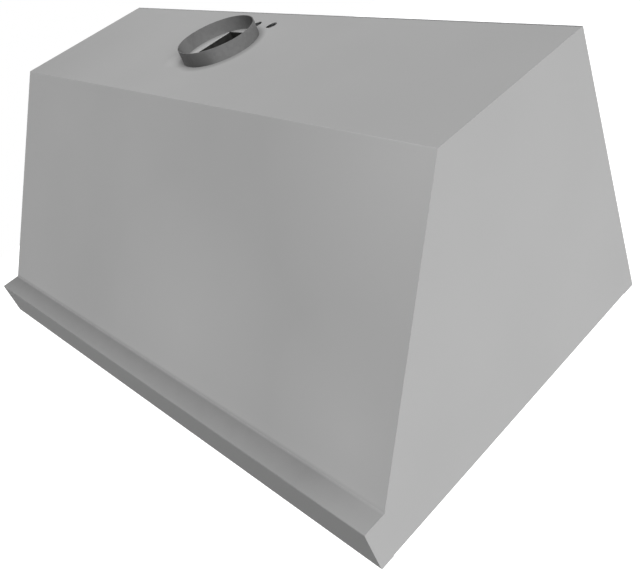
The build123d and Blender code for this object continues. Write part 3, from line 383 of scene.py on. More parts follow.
def washer_screw(washer, width, height, radius, length):
    """Sheet-metal screw with a six-sided head on a washer face and a dimple in its top."""
    rim = height * 0.3
    profile = [(0, 0), (washer * 0.96, 0), (washer, rim * 0.3), (washer * 0.97, rim), (0, rim * 1.15)]
    shape = lathe(profile, 28)
    head = six_sided(width, height - rim, width * 0.05)
    top = max(head.faces, key=lambda face: face.calc_center_median().z)
    bmesh.ops.inset_region(head, faces=[top], thickness=width * 0.12, depth=0)
    bmesh.ops.inset_region(head, faces=[top], thickness=width * 0.06, depth=-height * 0.16)
    add_shape(shape, head, Matrix.Translation((0, 0, rim)))
    pitch = radius * 0.5
    add_shape(shape, threaded_rod(radius, pitch, length), Matrix.Translation((0, 0, -length)))
    return shape


def rivet(radius, height):
    """Blind rivet's dome with the hollow that its broken stem leaves."""
    profile = [(0, -RIVET_SINK), (radius, -RIVET_SINK), (radius, height * 0.2)]
    profile += [(radius * 0.86, height * 0.62), (radius * 0.6, height * 0.92)]
    profile += [(radius * 0.4, height), (radius * 0.34, height * 0.94)]
    profile += [(radius * 0.32, height * 0.5), (0, height * 0.45)]
    return lathe(profile, 20)


def gather(shapes):
    """One bmesh from pairs of a bmesh and its place."""
    whole = bmesh.new()
    for shape, place in shapes:
        add_shape(whole, shape, place)
    return whole


# Shader groups: masks and heights that several finishes share

def new_group(name, inputs, outputs):
    group = bpy.data.node_groups.new(name, "ShaderNodeTree")
    for label, kind, value in inputs:
        socket = group.interface.new_socket(name=label, in_out="INPUT", socket_type=kind)
        if value is not None:
            socket.default_value = value
    for label in outputs:
        group.interface.new_socket(name=label, in_out="OUTPUT", socket_type="NodeSocketFloat")
    source = group.nodes.new("NodeGroupInput")
    sink = group.nodes.new("NodeGroupOutput")
    return group, source.outputs, sink.inputs


def add(tree, kind, **settings):
    """A node with its settings; a name that is a socket's sets that socket, and a socket links it."""
    node = tree.nodes.new(kind)
    for key, value in settings.items():
        label = key.replace("_", " ")
        socket = node.inputs.get(label) or node.inputs.get(label.title())
        if socket is None or hasattr(node, key):
            setattr(node, key, value)
        elif isinstance(value, bpy.types.NodeSocket):
            tree.links.new(value, socket)
        else:
            socket.default_value = value
    return node


def math_node(tree, operation, first, second=None, clamp=False):
    node = tree.nodes.new("ShaderNodeMath")
    node.operation = operation
    node.use_clamp = clamp
    for index, value in enumerate((first, second)):
        if isinstance(value, bpy.types.NodeSocket):
            tree.links.new(value, node.inputs[index])
        elif value is not None:
            node.inputs[index].default_value = value
    return node.outputs[0]


def ramp(tree, value, low, high, to_low=0.0, to_high=1.0):
    """Maps a value from one range to another and clamps it."""
    node = tree.nodes.new("ShaderNodeMapRange")
    tree.links.new(value, node.inputs["Value"])
    limits = {"From Min": low, "From Max": high, "To Min": to_low, "To Max": to_high}
    for label, number in limits.items():
        if isinstance(number, bpy.types.NodeSocket):
            tree.links.new(number, node.inputs[label])
        else:
            node.inputs[label].default_value = number
    return node.outputs[0]


def brushed_group():
    """Fine lines along a stretched vector, with longer, fainter streaks among them."""
    group, given, result = new_group(
        "brushed_lines",
        [("Vector", "NodeSocketVector", None), ("Fineness", "NodeSocketFloat", 900.0)],
        ["Lines", "Streaks"],
    )
    fine = add(group, "ShaderNodeTexNoise", Vector=given["Vector"], Scale=given["Fineness"], Detail=3.0)
    wide_scale = math_node(group, "MULTIPLY", given["Fineness"], 0.12)
    wide = add(group, "ShaderNodeTexNoise", Vector=given["Vector"], Scale=wide_scale, Detail=2.0)
    lines = ramp(group, fine.outputs[0], 0.3, 0.7)
    streaks = ramp(group, wide.outputs[0], 0.3, 0.7)
    group.links.new(lines, result["Lines"])
    group.links.new(streaks, result["Streaks"])
    return group


def mottle_group():
    """Slow, soft variation over a sheet, from handling and rolling."""
    group, given, result = new_group(
        "soft_mottle",
        [("Vector", "NodeSocketVector", None), ("Scale", "NodeSocketFloat", 3.0)],
        ["Mottle", "Smudge"],
    )
    slow = add(group, "ShaderNodeTexNoise", Vector=given["Vector"], Scale=given["Scale"], Detail=2.0)
    smudge_scale = math_node(group, "MULTIPLY", given["Scale"], 6.0)
    quick = add(group, "ShaderNodeTexNoise", Vector=given["Vector"], Scale=smudge_scale, Detail=6.0)
    group.links.new(ramp(group, slow.outputs[0], 0.3, 0.7), result["Mottle"])
    group.links.new(ramp(group, quick.outputs[0], 0.52, 0.75), result["Smudge"])
    return group


def spangle_group():
    """The crystals of a zinc coat, each with its own tone, and their thin borders."""
    group, given, result = new_group(
        "zinc_spangle",
        [("Vector", "NodeSocketVector", None), ("Scale", "NodeSocketFloat", 90.0)],
        ["Tone", "Border"],
    )
    wobble = add(group, "ShaderNodeTexNoise", Vector=given["Vector"], Scale=given["Scale"], Detail=2.0)
    shifted = group.nodes.new("ShaderNodeVectorMath")
    shifted.operation = "MULTIPLY_ADD"
    group.links.new(wobble.outputs["Color"], shifted.inputs[0])
    shifted.inputs[1].default_value = (0.006, 0.006, 0.006)
    group.links.new(given["Vector"], shifted.inputs[2])
    cells = add(group, "ShaderNodeTexVoronoi", Vector=shifted.outputs[0], Scale=given["Scale"])
    edges = add(
        group,
        "ShaderNodeTexVoronoi",
        feature="DISTANCE_TO_EDGE",
        Vector=shifted.outputs[0],
        Scale=given["Scale"],
    )
    split = add(group, "ShaderNodeSeparateColor", Color=cells.outputs["Color"])
    group.links.new(split.outputs[0], result["Tone"])
    group.links.new(ramp(group, edges.outputs[0], 0.0, 0.06, 1.0, 0.0), result["Border"])
    return group


def pebble_group():
    """A fine uneven skin: moulded plastic, cast metal or sprayed enamel."""
    group, given, result = new_group(
        "pebbled_skin",
        [("Vector", "NodeSocketVector", None), ("Scale", "NodeSocketFloat", 400.0)],
        ["Height", "Speckle"],
    )
    soft = add(group, "ShaderNodeTexNoise", Vector=given["Vector"], Scale=given["Scale"], Detail=4.0)
    grains = add(group, "ShaderNodeTexVoronoi", Vector=given["Vector"], Scale=given["Scale"])
    half_grains = math_node(group, "MULTIPLY", grains.outputs[0], 0.5)
    height = math_node(group, "ADD", soft.outputs[0], half_grains)
    group.links.new(height, result["Height"])
    group.links.new(ramp(group, soft.outputs[0], 0.55, 0.72), result["Speckle"])
    return group


def wear_group():
    """Where rounded corners have been rubbed bright, broken up by noise."""
    group, given, result = new_group(
        "edge_wear",
        [("Vector", "NodeSocketVector", None), ("Width", "NodeSocketFloat", 0.001)],
        ["Wear"],
    )
    rounded = add(group, "ShaderNodeBevel", samples=4, Radius=given["Width"])
    true_normal = group.nodes.new("ShaderNodeNewGeometry")
    compare = group.nodes.new("ShaderNodeVectorMath")
    compare.operation = "DOT_PRODUCT"
    group.links.new(rounded.outputs[0], compare.inputs[0])
    group.links.new(true_normal.outputs["Normal"], compare.inputs[1])
    edge = ramp(group, compare.outputs["Value"], 0.995, 0.9)
    patches = add(group, "ShaderNodeTexNoise", Vector=given["Vector"], Scale=180.0, Detail=3.0)
    broken = ramp(group, patches.outputs[0], 0.4, 0.6)
    group.links.new(math_node(group, "MULTIPLY", edge, broken), result["Wear"])
    return group


def corner_group():
    """Dust and grease that gather in inside corners."""
    group, given, result = new_group(
        "corner_dust",
        [("Vector", "NodeSocketVector", None), ("Reach", "NodeSocketFloat", 0.02)],
        ["Dust"],
    )
    shade = add(group, "ShaderNodeAmbientOcclusion", samples=12, Distance=given["Reach"])
    closed = ramp(group, shade.outputs["AO"], 0.35, 0.9, 1.0, 0.0)
    patches = add(group, "ShaderNodeTexNoise", Vector=given["Vector"], Scale=60.0, Detail=5.0)
    broken = ramp(group, patches.outputs[0], 0.35, 0.7, 0.3, 1.0)
    group.links.new(math_node(group, "MULTIPLY", closed, broken), result["Dust"])
    return group


def bend_group():
    """Painted shade in the lip's inside bend, fainter towards the lip's edge and the right end."""
    group, given, result = new_group(
        "painted_bend_shade",
        [
            ("Vector", "NodeSocketVector", None),
            ("Edge", "NodeSocketFloat", 0.6),
            ("End", "NodeSocketFloat", 0.35),
        ],
        ["Dust"],
    )
    place = group.nodes.new("ShaderNodeSeparateXYZ")
    group.links.new(given["Vector"], place.inputs[0])
    across = ramp(group, place.outputs["Y"], LIP_FRONT_Y, BEND_Y, given["Edge"], 1.0)
    upslope = ramp(group, place.outputs["Y"], BEND_Y - BEND_FADE, BEND_Y + BEND_FADE, 1.0, 0.0)
    along = ramp(group, place.outputs["X"], -LIP_END_X, BEND_SHADE_FADE_X, 1.0, 0.85)
    end = ramp(group, place.outputs["X"], BEND_SHADE_FADE_X, LIP_END_X, 1.0, given["End"])
    outside = math_node(group, "GREATER_THAN", place.outputs["Z"], BEND_Z - SHADE_REACH_UNDER)
    patches = add(group, "ShaderNodeTexNoise", Vector=given["Vector"], Scale=45.0, Detail=4.0)
    broken = ramp(group, patches.outputs[0], 0.3, 0.7, 0.95, 1.0)
    shade_mask = math_node(group, "MULTIPLY", across, facing_up(group))
    for mask in (upslope, along, end, outside, broken):
        shade_mask = math_node(group, "MULTIPLY", shade_mask, mask)
    group.links.new(shade_mask, result["Dust"])
    return group


def facing_up(tree):
    """1 on faces that look upwards, 0 on upright ones and undersides."""
    surface = tree.nodes.new("ShaderNodeNewGeometry")
    split = tree.nodes.new("ShaderNodeSeparateXYZ")
    tree.links.new(surface.outputs["Normal"], split.inputs[0])
    return ramp(tree, split.outputs["Z"], 0.2, 0.5)


def foot_group():
    """Painted shade in a ring on the top, against the collar's foot, a little wider to the front right.
    """
    group, given, result = new_group(
        "painted_collar_foot_shade",
        [("Vector", "NodeSocketVector", None), ("Reach", "NodeSocketFloat", 0.015)],
        ["Dust"],
    )
    centre = centre_of("duct_collar")
    low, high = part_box("duct_collar")
    moved = group.nodes.new("ShaderNodeVectorMath")
    moved.operation = "SUBTRACT"
    group.links.new(given["Vector"], moved.inputs[0])
    moved.inputs[1].default_value = (centre.x + FOOT_DRIFT.x, centre.y + FOOT_DRIFT.y, 0)
    level = group.nodes.new("ShaderNodeVectorMath")
    level.operation = "MULTIPLY"
    group.links.new(moved.outputs[0], level.inputs[0])
    level.inputs[1].default_value = (1, 1, 0)
    length = group.nodes.new("ShaderNodeVectorMath")
    length.operation = "LENGTH"
    group.links.new(level.outputs[0], length.inputs[0])
    apart = math_node(group, "SUBTRACT", length.outputs["Value"], (high.x - low.x) / 2)
    apart = math_node(group, "ABSOLUTE", apart)
    near = ramp(group, math_node(group, "DIVIDE", apart, given["Reach"]), 0.0, 1.0, 1.0, 0.0)
    place = group.nodes.new("ShaderNodeSeparateXYZ")
    group.links.new(given["Vector"], place.inputs[0])
    outside = math_node(group, "GREATER_THAN", place.outputs["Z"], low.z - SHADE_REACH_UNDER)
    shade_mask = math_node(group, "MULTIPLY", near, facing_up(group))
    group.links.new(math_node(group, "MULTIPLY", shade_mask, outside), result["Dust"])
    return group


def film_group():
    """A patch of painted light and shade around a place: full there, none beyond its reach, only on
    faces turned one way.
    """
    group, given, result = new_group(
        "painted_light_and_shade_patch",
        [
            ("Vector", "NodeSocketVector", None),
            ("Place", "NodeSocketVector", None),
            ("Facing", "NodeSocketVector", None),
            ("Reach", "NodeSocketFloat", 0.3),
        ],
        ["Film"],
    )
    apart = group.nodes.new("ShaderNodeVectorMath")
    apart.operation = "DISTANCE"
    group.links.new(given["Vector"], apart.inputs[0])
    group.links.new(given["Place"], apart.inputs[1])
    near = math_node(group, "DIVIDE", apart.outputs["Value"], given["Reach"])
    surface = group.nodes.new("ShaderNodeNewGeometry")
    turned = group.nodes.new("ShaderNodeVectorMath")
    turned.operation = "DOT_PRODUCT"
    group.links.new(surface.outputs["Normal"], turned.inputs[0])
    group.links.new(given["Facing"], turned.inputs[1])
    faced = ramp(group, turned.outputs["Value"], 0.85, 0.95)
    patch_mask = math_node(group, "MULTIPLY", ramp(group, near, 0.0, 1.0, 1.0, 0.0), faced)
    group.links.new(patch_mask, result["Film"])
    return group


LINES = brushed_group()
MOTTLE = mottle_group()
SPANGLE = spangle_group()
PEBBLE = pebble_group()
WEAR = wear_group()
CORNER = corner_group()
PAINTED_BEND_SHADE = bend_group()
PAINTED_FOOT_SHADE = foot_group()
PAINTED_PATCH = film_group()


# Finishes

class Finish:
    """A material under construction: its tree, its shader and the object coordinates."""

    def __init__(self, name, color, metallic, roughness, **sockets):
        self.material = bpy.data.materials.new(name)
        self.material.use_nodes = True
        self.tree = self.material.node_tree
        self.shader = self.tree.nodes["Principled BSDF"]
        self.color = color
        self.shader.inputs["Base Color"].default_value = (*color, 1)
        self.shader.inputs["Metallic"].default_value = metallic
        self.shader.inputs["Roughness"].default_value = roughness
        for key, value in sockets.items():
            self.shader.inputs[key.replace("_", " ")].default_value = value
        self.place = self.tree.nodes.new("ShaderNodeTexCoord").outputs["Object"]

    def stretched(self, scale, location=(0, 0, 0)):
        """Object coordinates, moved and then stretched."""
        move = add(self.tree, "ShaderNodeMapping", vector_type="POINT", Scale=scale, Location=location)
        self.tree.links.new(self.place, move.inputs["Vector"])
        return move.outputs[0]

    def group(self, group, vector, **values):
        node = self.tree.nodes.new("ShaderNodeGroup")
        node.node_tree = group
        self.tree.links.new(vector, node.inputs["Vector"])
        for key, value in values.items():
            node.inputs[key].default_value = value
        return node.outputs

    def tint(self, mask, color):
        """Mixes another colour into the base where the mask is high."""
        mix = self.tree.nodes.new("ShaderNodeMix")
        mix.data_type = "RGBA"
        self.tree.links.new(mask, mix.inputs["Factor"])
        base = self.shader.inputs["Base Color"]
        if base.is_linked:
            self.tree.links.new(base.links[0].from_socket, mix.inputs["A"])
        else:
            mix.inputs["A"].default_value = (*self.color, 1)
        mix.inputs["B"].default_value = (*color, 1)
        self.tree.links.new(mix.outputs["Result"], base)

    def films(self, patches):
        """Paints patches of light and shade, each with its place, the way its faces look, its reach and
        its tone.
        """
        for place, look, reach, tone in patches:
            patch_mask = self.group(PAINTED_PATCH, self.place, Place=place, Facing=look, Reach=reach)
            self.tint(patch_mask["Film"], grey(tone))

    def roughen(self, mask, low, high):
        """Roughness that runs from low to high with the mask."""
        rough = ramp(self.tree, mask, 0.0, 1.0, low, high)
        self.tree.links.new(rough, self.shader.inputs["Roughness"])

    def bump(self, height, depth, strength=1.0):
        """A bump of a depth in metres, on top of any bump already there."""
        node = add(self.tree, "ShaderNodeBump", Strength=strength, Distance=depth)
        self.tree.links.new(height, node.inputs["Height"])
        normal = self.shader.inputs["Normal"]
        if normal.is_linked:
            self.tree.links.new(normal.links[0].from_socket, node.inputs["Normal"])
        self.tree.links.new(node.outputs[0], normal)


def scaled(color, factor):
    return tuple(channel * factor for channel in color)


def grey(value):
    return (value, value, value)


def sheet_steel(name, color, metallic, roughness, along, mottle=0.95):
    """Satin sheet, brushed along one axis, with slow variation in tone."""
    finish_ = Finish(name, color, metallic, roughness)
    stretch = [1.0, 1.0, 1.0]
    stretch[along] = 0.012
    lines = finish_.group(LINES, finish_.stretched(stretch), Fineness=1400.0)
    soft = finish_.group(MOTTLE, finish_.place, Scale=3.2)
    finish_.tint(soft["Mottle"], scaled(color, mottle))
    finish_.roughen(lines["Lines"], roughness - 0.05, roughness + 0.05)
    finish_.bump(lines["Lines"], 0.004 * MM)
    return finish_


def shell_steel(name, along):
    """Satin steel of the outer sheets, with patches of painted light and shade, painted shade along the
    lip's inside bend and painted shade around the collar's foot.
    """
    finish_ = sheet_steel(name, grey(0.43), 0.0, 0.55, along)
    finish_.shader.inputs["Specular IOR Level"].default_value = 0.015
    bend = finish_.group(PAINTED_BEND_SHADE, finish_.place, Edge=0.62, End=0.42)
    foot = finish_.group(PAINTED_FOOT_SHADE, finish_.place, Reach=0.0135)
    # patches of painted light and shade on the outer sheets
    finish_.films(SHEET_PAINTED_SHADING)
    # painted shade along the lip's inside bend
    finish_.tint(bend["Dust"], grey(0.2))
    # painted shade around the collar's foot
    finish_.tint(foot["Dust"], grey(0.27))
    return finish_.material


def collar_steel():
    """Dull zinc-coated ring, with painted shade in front near its foot and painted light inside on the
    left.
    """
    color = grey(0.15)
    finish_ = Finish("collar_steel", color, 0.0, 0.5, Specular_IOR_Level=0.06)
    zinc = finish_.group(SPANGLE, finish_.place, Scale=140.0)
    finish_.tint(zinc["Tone"], scaled(color, 0.9))
    # patches of painted light and shade on the ring
    finish_.films(COLLAR_PAINTED_SHADING)
    finish_.roughen(zinc["Tone"], 0.45, 0.56)
    finish_.bump(zinc["Border"], -0.003 * MM)
    return finish_.material


def inner_steel(name, along):
    """Satin steel of the filters' frames and rails, the gutter and the cup, greasy in its corners."""
    finish_ = sheet_steel(name, (0.46, 0.465, 0.47), 0.85, 0.38, along, mottle=0.9)
    corner = finish_.group(CORNER, finish_.place, Reach=0.015)
    finish_.tint(corner["Dust"], (0.2, 0.17, 0.12))
    return finish_.material


def galvanised(name, metallic=0.8, color=(0.43, 0.445, 0.46)):
    """Zinc-coated sheet, cloudy with its crystals and dull in its corners."""
    finish_ = Finish(name, color, metallic, 0.42)
    zinc = finish_.group(SPANGLE, finish_.place, Scale=110.0)
    finish_.tint(zinc["Tone"], scaled(color, 0.87))
    soft = finish_.group(MOTTLE, finish_.place, Scale=9.0)
    finish_.tint(soft["Smudge"], scaled(color, 0.92))
    finish_.roughen(zinc["Tone"], 0.34, 0.52)
    finish_.bump(zinc["Border"], -0.006 * MM)
    corner = finish_.group(CORNER, finish_.place, Reach=0.012)
    finish_.tint(corner["Dust"], (0.22, 0.2, 0.17))
    return finish_


def outlet_zinc():
    """Zinc-coated sheet of the blower, with painted shade and grease towards its outlet."""
    finish_ = galvanised("outlet_zinc")
    split = finish_.tree.nodes.new("ShaderNodeSeparateXYZ")
    finish_.tree.links.new(finish_.place, split.inputs[0])
    outlet_shade = ramp(finish_.tree, split.outputs["Z"], OUTLET_SHADE_START_Z, OUTLET_SHADE_FULL_Z)
    # painted shade with some grease, darkest towards the outlet
    finish_.tint(outlet_shade, (0.06, 0.06, 0.058))
    return finish_.material


def baffle_steel():
    """Rolled steel of the baffles, greasy where they turn in."""
    finish_ = sheet_steel("baffle_steel", (0.47, 0.475, 0.48), 0.9, 0.3, 1, mottle=0.9)
    corner = finish_.group(CORNER, finish_.place, Reach=0.008)
    finish_.tint(corner["Dust"], (0.3, 0.25, 0.17))
    return finish_.material


def bright_metal():
    """Plated metal of handles, trims and fasteners."""
    color = (0.6, 0.605, 0.61)
    finish_ = Finish("bright_metal", color, 1.0, 0.2)
    lines = finish_.group(LINES, finish_.place, Fineness=500.0)
    finish_.roughen(lines["Streaks"], 0.14, 0.28)
    finish_.tint(lines["Streaks"], scaled(color, 0.9))
    finish_.bump(lines["Lines"], 0.002 * MM)
    return finish_.material


def motor_paint():
    """Black enamel, rubbed through along its edges."""
    color = (0.022, 0.022, 0.024)
    finish_ = Finish("motor_paint", color, 0.0, 0.35, Coat_Weight=0.2)
    skin = finish_.group(PEBBLE, finish_.place, Scale=260.0)
    wear = finish_.group(WEAR, finish_.place, Width=0.0012)
    finish_.tint(skin["Speckle"], (0.03, 0.03, 0.033))
    finish_.tint(wear["Wear"], (0.16, 0.16, 0.165))
    finish_.roughen(skin["Speckle"], 0.3, 0.45)
    finish_.bump(skin["Height"], 0.03 * MM)
    return finish_.material


def cast_aluminium():
    """Sand-textured casting of the lamp cans and the damper flaps."""
    color = (0.47, 0.475, 0.48)
    finish_ = Finish("cast_aluminium", color, 0.9, 0.45)
    skin = finish_.group(PEBBLE, finish_.place, Scale=700.0)
    finish_.tint(skin["Speckle"], (0.36, 0.365, 0.37))
    finish_.roughen(skin["Speckle"], 0.38, 0.55)
    finish_.bump(skin["Height"], 0.02 * MM)
    corner = finish_.group(CORNER, finish_.place, Reach=0.006)
    finish_.tint(corner["Dust"], (0.2, 0.19, 0.17))
    return finish_.material


def lens_glass():
    """Frosted glass."""
    finish_ = Finish("lens_glass", (0.93, 0.94, 0.93), 0.0, 0.35, Transmission_Weight=0.85, IOR=1.49)
    skin = finish_.group(PEBBLE, finish_.place, Scale=900.0)
    finish_.roughen(skin["Speckle"], 0.3, 0.42)
    finish_.bump(skin["Height"], 0.02 * MM)
    return finish_.material


def knob_metal(name, centre):
    """Satin metal with the fine rings that turning leaves around the knob's axis."""
    color = (0.42, 0.42, 0.425)
    finish_ = Finish(name, color, 0.9, 0.34)
    around = finish_.stretched((1, 1, 1), (-centre.x, -centre.y, 0))
    rings = add(finish_.tree, "ShaderNodeTexWave", wave_type="RINGS", rings_direction="Z", Vector=around)
    rings.inputs["Scale"].default_value = 520.0
    rings.inputs["Distortion"].default_value = 0.6
    rings.inputs["Detail"].default_value = 3.0
    wear = finish_.group(WEAR, finish_.place, Width=0.0008)
    finish_.tint(rings.outputs["Fac"], scaled(color, 0.92))
    finish_.tint(wear["Wear"], (0.58, 0.58, 0.585))
    finish_.roughen(rings.outputs["Fac"], 0.28, 0.4)
    finish_.bump(rings.outputs["Fac"], 0.004 * MM)
    return finish_.material


def moulded(name, color, roughness, speckle):
    """Moulded plastic with a fine skin and a little handling."""
    finish_ = Finish(name, color, 0.0, roughness)
    skin = finish_.group(PEBBLE, finish_.place, Scale=1100.0)
    soft = finish_.group(MOTTLE, finish_.place, Scale=40.0)
    finish_.tint(skin["Speckle"], speckle)
    finish_.tint(soft["Smudge"], scaled(color, 1.15))
    finish_.roughen(soft["Mottle"], roughness - 0.06, roughness + 0.08)
    finish_.bump(skin["Height"], 0.015 * MM)
    return finish_.material


def dial_ink():
    """Black printing ink."""
    color = (0.02, 0.02, 0.022)
    finish_ = Finish("dial_ink", color, 0.0, 0.5)
    skin = finish_.group(PEBBLE, finish_.place, Scale=1500.0)
    finish_.tint(skin["Speckle"], (0.04, 0.04, 0.042))
    finish_.bump(skin["Height"], 0.01 * MM)
    return finish_.material


def pointer_paint():
    """White fill of the knobs' lines."""
    finish_ = Finish("pointer_paint", grey(0.8), 0.0, 0.45)
    skin = finish_.group(PEBBLE, finish_.place, Scale=1500.0)
    finish_.tint(skin["Speckle"], grey(0.68))
    finish_.bump(skin["Height"], 0.01 * MM)
    return finish_.material


def led_phosphor():
    """Yellow coat over the lamp's light-emitting disc."""
    finish_ = Finish("led_phosphor", (0.85, 0.62, 0.08), 0.0, 0.4)
    skin = finish_.group(PEBBLE, finish_.place, Scale=1200.0)
    finish_.tint(skin["Speckle"], (0.75, 0.5, 0.05))
    finish_.bump(skin["Height"], 0.02 * MM)
    return finish_.material


# Finish of each carried-over node

fan_centre = centre_of("fan_knob")
light_centre = centre_of("light_knob")
FINISHES = {
    "wrap": shell_steel("shell_steel_lengthwise", 0),
    "side": shell_steel("shell_steel_side", 1),
    "collar": collar_steel(),
    "inner_long": inner_steel("inner_steel_lengthwise", 0),
    "inner_deep": inner_steel("inner_steel_deep", 1),
    "zinc": galvanised("galvanised").material,
    "outlet": outlet_zinc(),
    # lighter, duller copy of the galvanised finish: painted light, so the box's inside shows lighter
    # through the knock-outs
    "box": galvanised("galvanised_box", 0.1, (0.7, 0.71, 0.72)).material,
    "baffle": baffle_steel(),
    "bright": bright_metal(),
    "motor": motor_paint(),
    "cast": cast_aluminium(),
    "lens": lens_glass(),
    "fan_knob": knob_metal("knob_metal_fan", fan_centre),
    "light_knob": knob_metal("knob_metal_light", light_centre),
    "switch": moulded("switch_plastic", grey(0.025), 0.42, grey(0.04)),
    "capacitor": moulded("capacitor_plastic", (0.55, 0.55, 0.53), 0.48, (0.48, 0.48, 0.46)),
    "board": moulded("lamp_board", grey(0.75), 0.4, grey(0.66)),
    "magnet": bright_metal(),
    "ink": dial_ink(),
    "pointer": pointer_paint(),
    "phosphor": led_phosphor(),
}
FILTERS = ("left_filter", "middle_filter", "right_filter")
NODE_FINISH = {
    "wrap": ["canopy_wrap", "light_panel"],
    "side": ["left_side_panel", "right_side_panel"],
    "collar": ["duct_collar"],
    "inner_long": ["grease_gutter", "grease_cup", "cup_rail"],
    "inner_deep": ["left_filter_rail", "right_filter_rail"] + [f"{name}_frame" for name in FILTERS],
    "zinc": [
        "back_panel", "wiring_cover", "left_inlet_ring", "right_inlet_ring", "blower_wheel",
        "motor_bracket", "capacitor_strap",
    ],
    "outlet": [
        "blower_scroll", "blower_left_plate", "blower_right_plate", "blower_flange", "damper_frame",
    ],
    "box": ["junction_box", "junction_cover"],
    "baffle": [f"{name}_{row}_baffles" for name in FILTERS for row in ("lower", "upper")],
    "bright": [
        "left_lamp_trim", "right_lamp_trim", "switch_nuts", "fan_shaft", "light_shaft", "blower_nuts",
        "blower_studs", "motor_shaft", "motor_screws", "damper_spindle", "junction_screws",
    ] + [f"{name}_handle" for name in FILTERS],
    "motor": ["motor"],
    "cast": ["left_lamp_can", "right_lamp_can", "front_damper_flap", "rear_damper_flap"],
    "lens": ["left_lamp_lens", "right_lamp_lens"],
    "fan_knob": ["fan_knob"],
    "light_knob": ["light_knob"],
    "switch": ["fan_switch", "light_switch"],
    "capacitor": ["run_capacitor"],
    "magnet": ["filter_magnets"],
}
for finish_name, names in NODE_FINISH.items():
    for node in names:
        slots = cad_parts[node].data.materials
        slots.clear()
        slots.append(FINISHES[finish_name])


# Controls: printed dials and inlaid pointers

def printed_number(text, place):
    """A digit under the strip, to be read from below with the wall behind."""
    curve = bpy.data.curves.new("number", "FONT")
    curve.body = text
    curve.size = TEXT_HEIGHT
    curve.align_x = "CENTER"
    curve.align_y = "CENTER"
    curve.extrude = INK_THICKNESS
    carrier = bpy.data.objects.new("number", curve)
    bpy.context.scene.collection.objects.link(carrier)
    bpy.context.view_layer.update()
    mesh = bpy.data.meshes.new_from_object(carrier)
    bpy.data.objects.remove(carrier)
    bpy.data.curves.remove(curve)
    shape = bmesh.new()
    shape.from_mesh(mesh)
    bpy.data.meshes.remove(mesh)
    shape.transform(Matrix.Translation(place) @ Matrix.Rotation(radians(180), 4, "X"))
    return shape


def printed_dial(knob, positions, name):
    """Numbers and ticks around a knob, one for each position from straight ahead to the right."""
    centre = centre_of(knob)
    centre.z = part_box("light_panel")[0].z
    marks = []
    for index in range(positions):
        angle = index * DIAL_STEP
        outward = Vector((sin(angle), -cos(angle), 0))
        number = printed_number(str(index), centre + outward * DIAL_RADIUS)
        marks.append((number, Matrix.Identity(4)))
        turn = Matrix.Rotation(angle, 4, "Z")
        tick_place = Matrix.Translation(centre + outward * TICK_RADIUS) @ turn
        marks.append((bar(TICK_SIZE, TICK_BEVEL), tick_place))
    return finish(gather(marks), name, "hood", FINISHES["ink"])


def knob_pointer(knob, body, name):
    """White line let into the front half of the grip bar's face."""
    low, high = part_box(knob)
    size = high.y - low.y
    shape = bar((POINTER_WIDTH, size * 0.3, POINTER_THICKNESS), POINTER_BEVEL)
    place = (low + high) / 2
    place.y -= size * 0.25
    place.z = low.z + POINTER_BEVEL
    shape.transform(Matrix.Translation(place))
    return finish(shape, name, body, FINISHES["pointer"])


# Lamps: what shows through the frosted lens

def lamp_insides(side):
    """White board, yellow light-emitting disc in its ring, and the polished cone around them."""
    lens_low, lens_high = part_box(f"{side}_lamp_lens")
    centre = (lens_low + lens_high) / 2
    top = LAMP_INSIDE_TOP - lens_high.z
    place = Matrix.Translation((centre.x, centre.y, lens_high.z))
    rim = LAMP_INSIDE_RADIUS - LAMP_INSIDE_GAP
    board_low = top - BOARD_SHEET
    seat = top - EMITTER_SEAT
    board = lathe([(0, board_low), (rim, board_low), (rim, top), (0, top)], 48)
    dam_profile = [(0, seat), (EMITTER_RADIUS, seat), (EMITTER_RADIUS, top - DAM_DEPTH)]
    dam_profile += [(DAM_RADIUS, top - DAM_DEPTH), (DAM_FOOT_RADIUS, top - DAM_FOOT)]
    dam_profile += [(0, top - DAM_FOOT)]
    add_shape(board, lathe(dam_profile, 40), Matrix.Identity(4))
    board.transform(place)
    finish(board, f"{side}_lamp_board", "hood", FINISHES["board"])
    glow_profile = [(0, seat), (EMITTER_RADIUS, seat), (EMITTER_RADIUS, top - EMITTER_EDGE)]
    glow = lathe(glow_profile + [(0, top - EMITTER_CROWN)], 40)
    glow.transform(place)
    finish(glow, f"{side}_lamp_emitter", "hood", FINISHES["phosphor"])
    throat = top - CONE_THROAT
    outline = [(rim, CONE_MOUTH), (CONE_THROAT_RADIUS, throat)]
    outline += [(CONE_THROAT_RADIUS + CONE_WALL, throat), (rim, CONE_MOUTH + CONE_WALL * 2)]
    cone = bmesh.new()
    points = [cone.verts.new((radius, 0, height)) for radius, height in outline]
    edges = [cone.edges.new((first, second)) for first, second in zip(points, points[1:] + points[:1])]
    bmesh.ops.spin(
        cone,
        geom=points + edges,
        cent=(0, 0, 0),
        axis=(0, 0, 1),
        dvec=(0, 0, 0),
        angle=tau,
        steps=56,
        use_merge=True,
        use_duplicate=False,
    )
    cone.transform(place)
    finish(cone, f"{side}_lamp_reflector", "hood", FINISHES["bright"])


# Fasteners that stand for plain solids, and rivets on the sheets

def blower_fixings():
    """Six threaded studs that carry the blower under the top, and their nuts."""
    studs = []
    for low, high in solids("blower_studs"):
        place = Matrix.Translation(((low.x + high.x) / 2, (low.y + high.y) / 2, low.z))
        studs.append((threaded_rod((high.y - low.y) / 2, STUD_PITCH, high.z - low.z), place))
    piece = finish(gather(studs), "threaded_studs", "hood", FINISHES["bright"], 30)
    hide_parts("blower_studs")
    nuts = []
    for low, high in solids("blower_nuts"):
        place = Matrix.Translation(((low.x + high.x) / 2, (low.y + high.y) / 2, low.z))
        nuts.append((six_sided(high.y - low.y, high.z - low.z, HEX_CORNER), place))
    piece = finish(gather(nuts), "hexagon_nuts", "hood", FINISHES["bright"], 30)
    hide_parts("blower_nuts")


